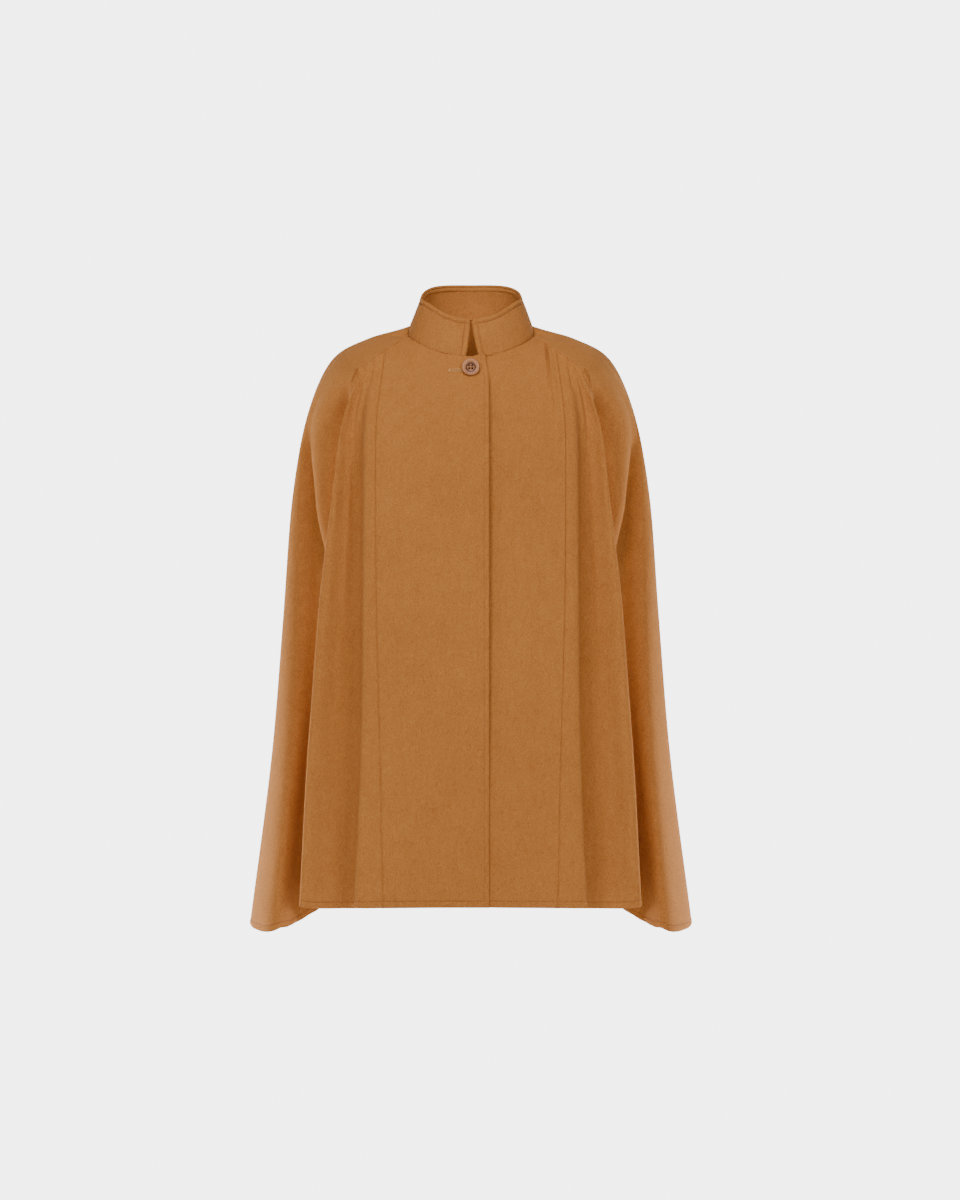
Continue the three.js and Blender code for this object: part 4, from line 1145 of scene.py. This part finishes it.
def on_over_front(across, drop):
    """The over front's face at a level across from the centre front, found by stepping down to it."""
    station = np.array([button_station])
    level = foot[2] - BUTTONHOLE["drop"] - drop
    for _ in range(4):
        u = u_at_across(np.array([abs(across)]), station) * (1 if across > 0 else -1)
        here, below = surface(u, station)[0, 2], surface(u, station + NUDGE)[0, 2]
        station = station + NUDGE * (here - level) / (here - below)
    p, n = over.place(u, station)
    return p[0], n[0]


def bar(across, drop, further, proud, long, wide):
    """One upright bar of thread at a place on the over front."""
    p, n = on_over_front(across, drop)
    q, _ = on_over_front(across, drop + further)
    way = (q - p) / np.linalg.norm(q - p)
    return stitch(p + n * proud, way, n, long, wide, BAR["high"])


def buttonhole_stitches():
    """Close bars above and under the slit, from under the button to the bar tack at its far end."""
    parts = []
    for row in (-1, 1):
        for k in range(BAR["count"]):
            across = BUTTONHOLE["start"] + (BUTTONHOLE["reach"] + 1) * (k + 0.5) / BAR["count"]
            long = BAR["long"] * rng.uniform(0.94, 1.08)
            parts.append(bar(across, row * BUTTONHOLE["half"], row * BAR["aim"],
                             BAR["proud"], long, BAR["wide"]))
    for k in range(TACK["count"]):
        across = BUTTONHOLE["reach"] - TACK["inset"] + TACK["pitch"] * k
        parts.append(bar(across, TACK["drop"], TACK["aim"], TACK["proud"], TACK["long"], TACK["wide"]))
    return parts


hole_sewing = joined_mesh("buttonhole_bars", buttonhole_stitches())
hole_sewing.data.materials.append(tan_thread)


def shank_strands():
    """The thread that holds the button: strands down the shank, and a knot that fills each hole."""
    up = np.array(facing)
    side = np.array([1.0, 0, 0])
    side -= up * (side @ up)
    side /= np.linalg.norm(side)
    other = np.cross(up, side)
    parts = []
    for k in range(SHANK["strands"]):
        a = 2 * math.pi * k / SHANK["strands"]
        spot = foot + up * (BUTTON_OFF * SHANK["middle"])
        spot = spot + (side * math.cos(a) + other * math.sin(a)) * SHANK["radius"]
        parts.append(stitch(spot, up, side, BUTTON_OFF * SHANK["long"], SHANK["thick"], SHANK["thick"]))
    for x, z in HOLES:
        spot = button_middle + np.array(turn.to_3x3() @ Vector((x, KNOT["level"], z)))
        parts.append(stitch(spot, nodded, side, KNOT["long"], KNOT["wide"], KNOT["wide"]))
    return parts


shank = joined_mesh("button_shank_thread", shank_strands())
shank.data.materials.append(stitch_material)
# The knots in the holes take the same near-black painted shade as the holes' walls
shank.data.materials.append(painted_shade_material("knot_shade"))
knot_faces = len(HOLES) * len(BEAD[1])
for face in shank.data.polygons[-knot_faces:]:
    face.material_index = 1

# Every piece is part of the one body
for node, piece in pieces.items():
    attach(piece, "root")
    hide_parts(node)
    "wool_collar" if node == "collar" else "wool_cloth"
for piece, node, slot in ((button, "button", "horn_button"), (shank, "button_thread", "sewing_thread"),
                          (hole_sewing, "buttonhole_stitching", "sewing_thread")):
    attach(piece, "root")
    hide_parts(node)
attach(sewing, "root")

for node, (wide, long, area) in CUTS.items():
    [sewing] if node == "collar" else []


# The studio
def area_light(name, place, aim, size, watts, side=1):
    """A soft rectangular lamp, mirrored to the other side of the cape for side -1."""
    data = bpy.data.lights.new(name, "AREA")
    data.shape, data.energy = "RECTANGLE", watts
    data.size, data.size_y = size
    place, aim = (Vector((x * side, y, z)) for x, y, z in (place, aim))
    lamp = bpy.data.objects.new(name, data)
    lamp.location = place
    lamp.rotation_euler = (aim - place).to_track_quat("-Z", "Y").to_euler()
    bpy.context.scene.collection.objects.link(lamp)


def seen_white(tree, cast, seen):
    """The strength of a light surface: `seen` where the camera looks at it and `cast` as a light."""
    path = tree.nodes.new("ShaderNodeLightPath")
    mix = tree.nodes.new("ShaderNodeMapRange")
    mix.inputs["To Min"].default_value, mix.inputs["To Max"].default_value = cast, seen
    tree.links.new(path.outputs["Is Camera Ray"], mix.inputs["Value"])
    return mix.outputs["Result"]


bm = bmesh.new()
bmesh.ops.create_grid(bm, x_segments=2, y_segments=2, size=FLOOR_HALF)
bmesh.ops.translate(bm, verts=bm.verts, vec=(0, 0, FLOOR_Z))
floor = mesh_object("studio_floor", bm, smooth=False)
floor.data.materials.append(paper_material("white_paper", PAPER_PALE))

world = bpy.context.scene.world or bpy.data.worlds.new("studio")
bpy.context.scene.world = world
world.use_nodes = True
background = world.node_tree.nodes["Background"]
background.inputs["Color"].default_value = (1, 1, 1, 1)
world.node_tree.links.new(seen_white(world.node_tree, SKY_CAST, SEEN_WHITE), background.inputs["Strength"])
for side in (-1, 1):
    for lamp in SIDE_LAMPS:
        area_light(*lamp, side)
area_light(*TOP_LAMP)

# A faint bare lamp inside the neck, for the light that the photograph shows behind the collar's gap
neck_lamp = bpy.data.lights.new("neck", "POINT")
neck_lamp.energy, neck_lamp.shadow_soft_size = NECK_LAMP_WATTS, 0.0
neck_light = bpy.data.objects.new("neck", neck_lamp)
neck_light.location = NECK_LAMP_PLACE
bpy.context.scene.collection.objects.link(neck_light)

# The photograph's camera: level with the middle of the picture, 3.5 metres from the neck
camera_data = bpy.data.cameras.new("camera")
camera_data.sensor_width = SENSOR_WIDTH
camera_data.lens = FOCAL_PIXELS / PICTURE_HEIGHT * SENSOR_WIDTH
camera_data.clip_end = 200
camera = bpy.data.objects.new("camera", camera_data)
camera.location = (CAMERA_AXIS_X, -CAMERA_DISTANCE, CAMERA_AXIS_Z)
camera.rotation_euler = (math.pi / 2, 0, 0)
bpy.context.scene.collection.objects.link(camera)
bpy.context.scene.camera = camera
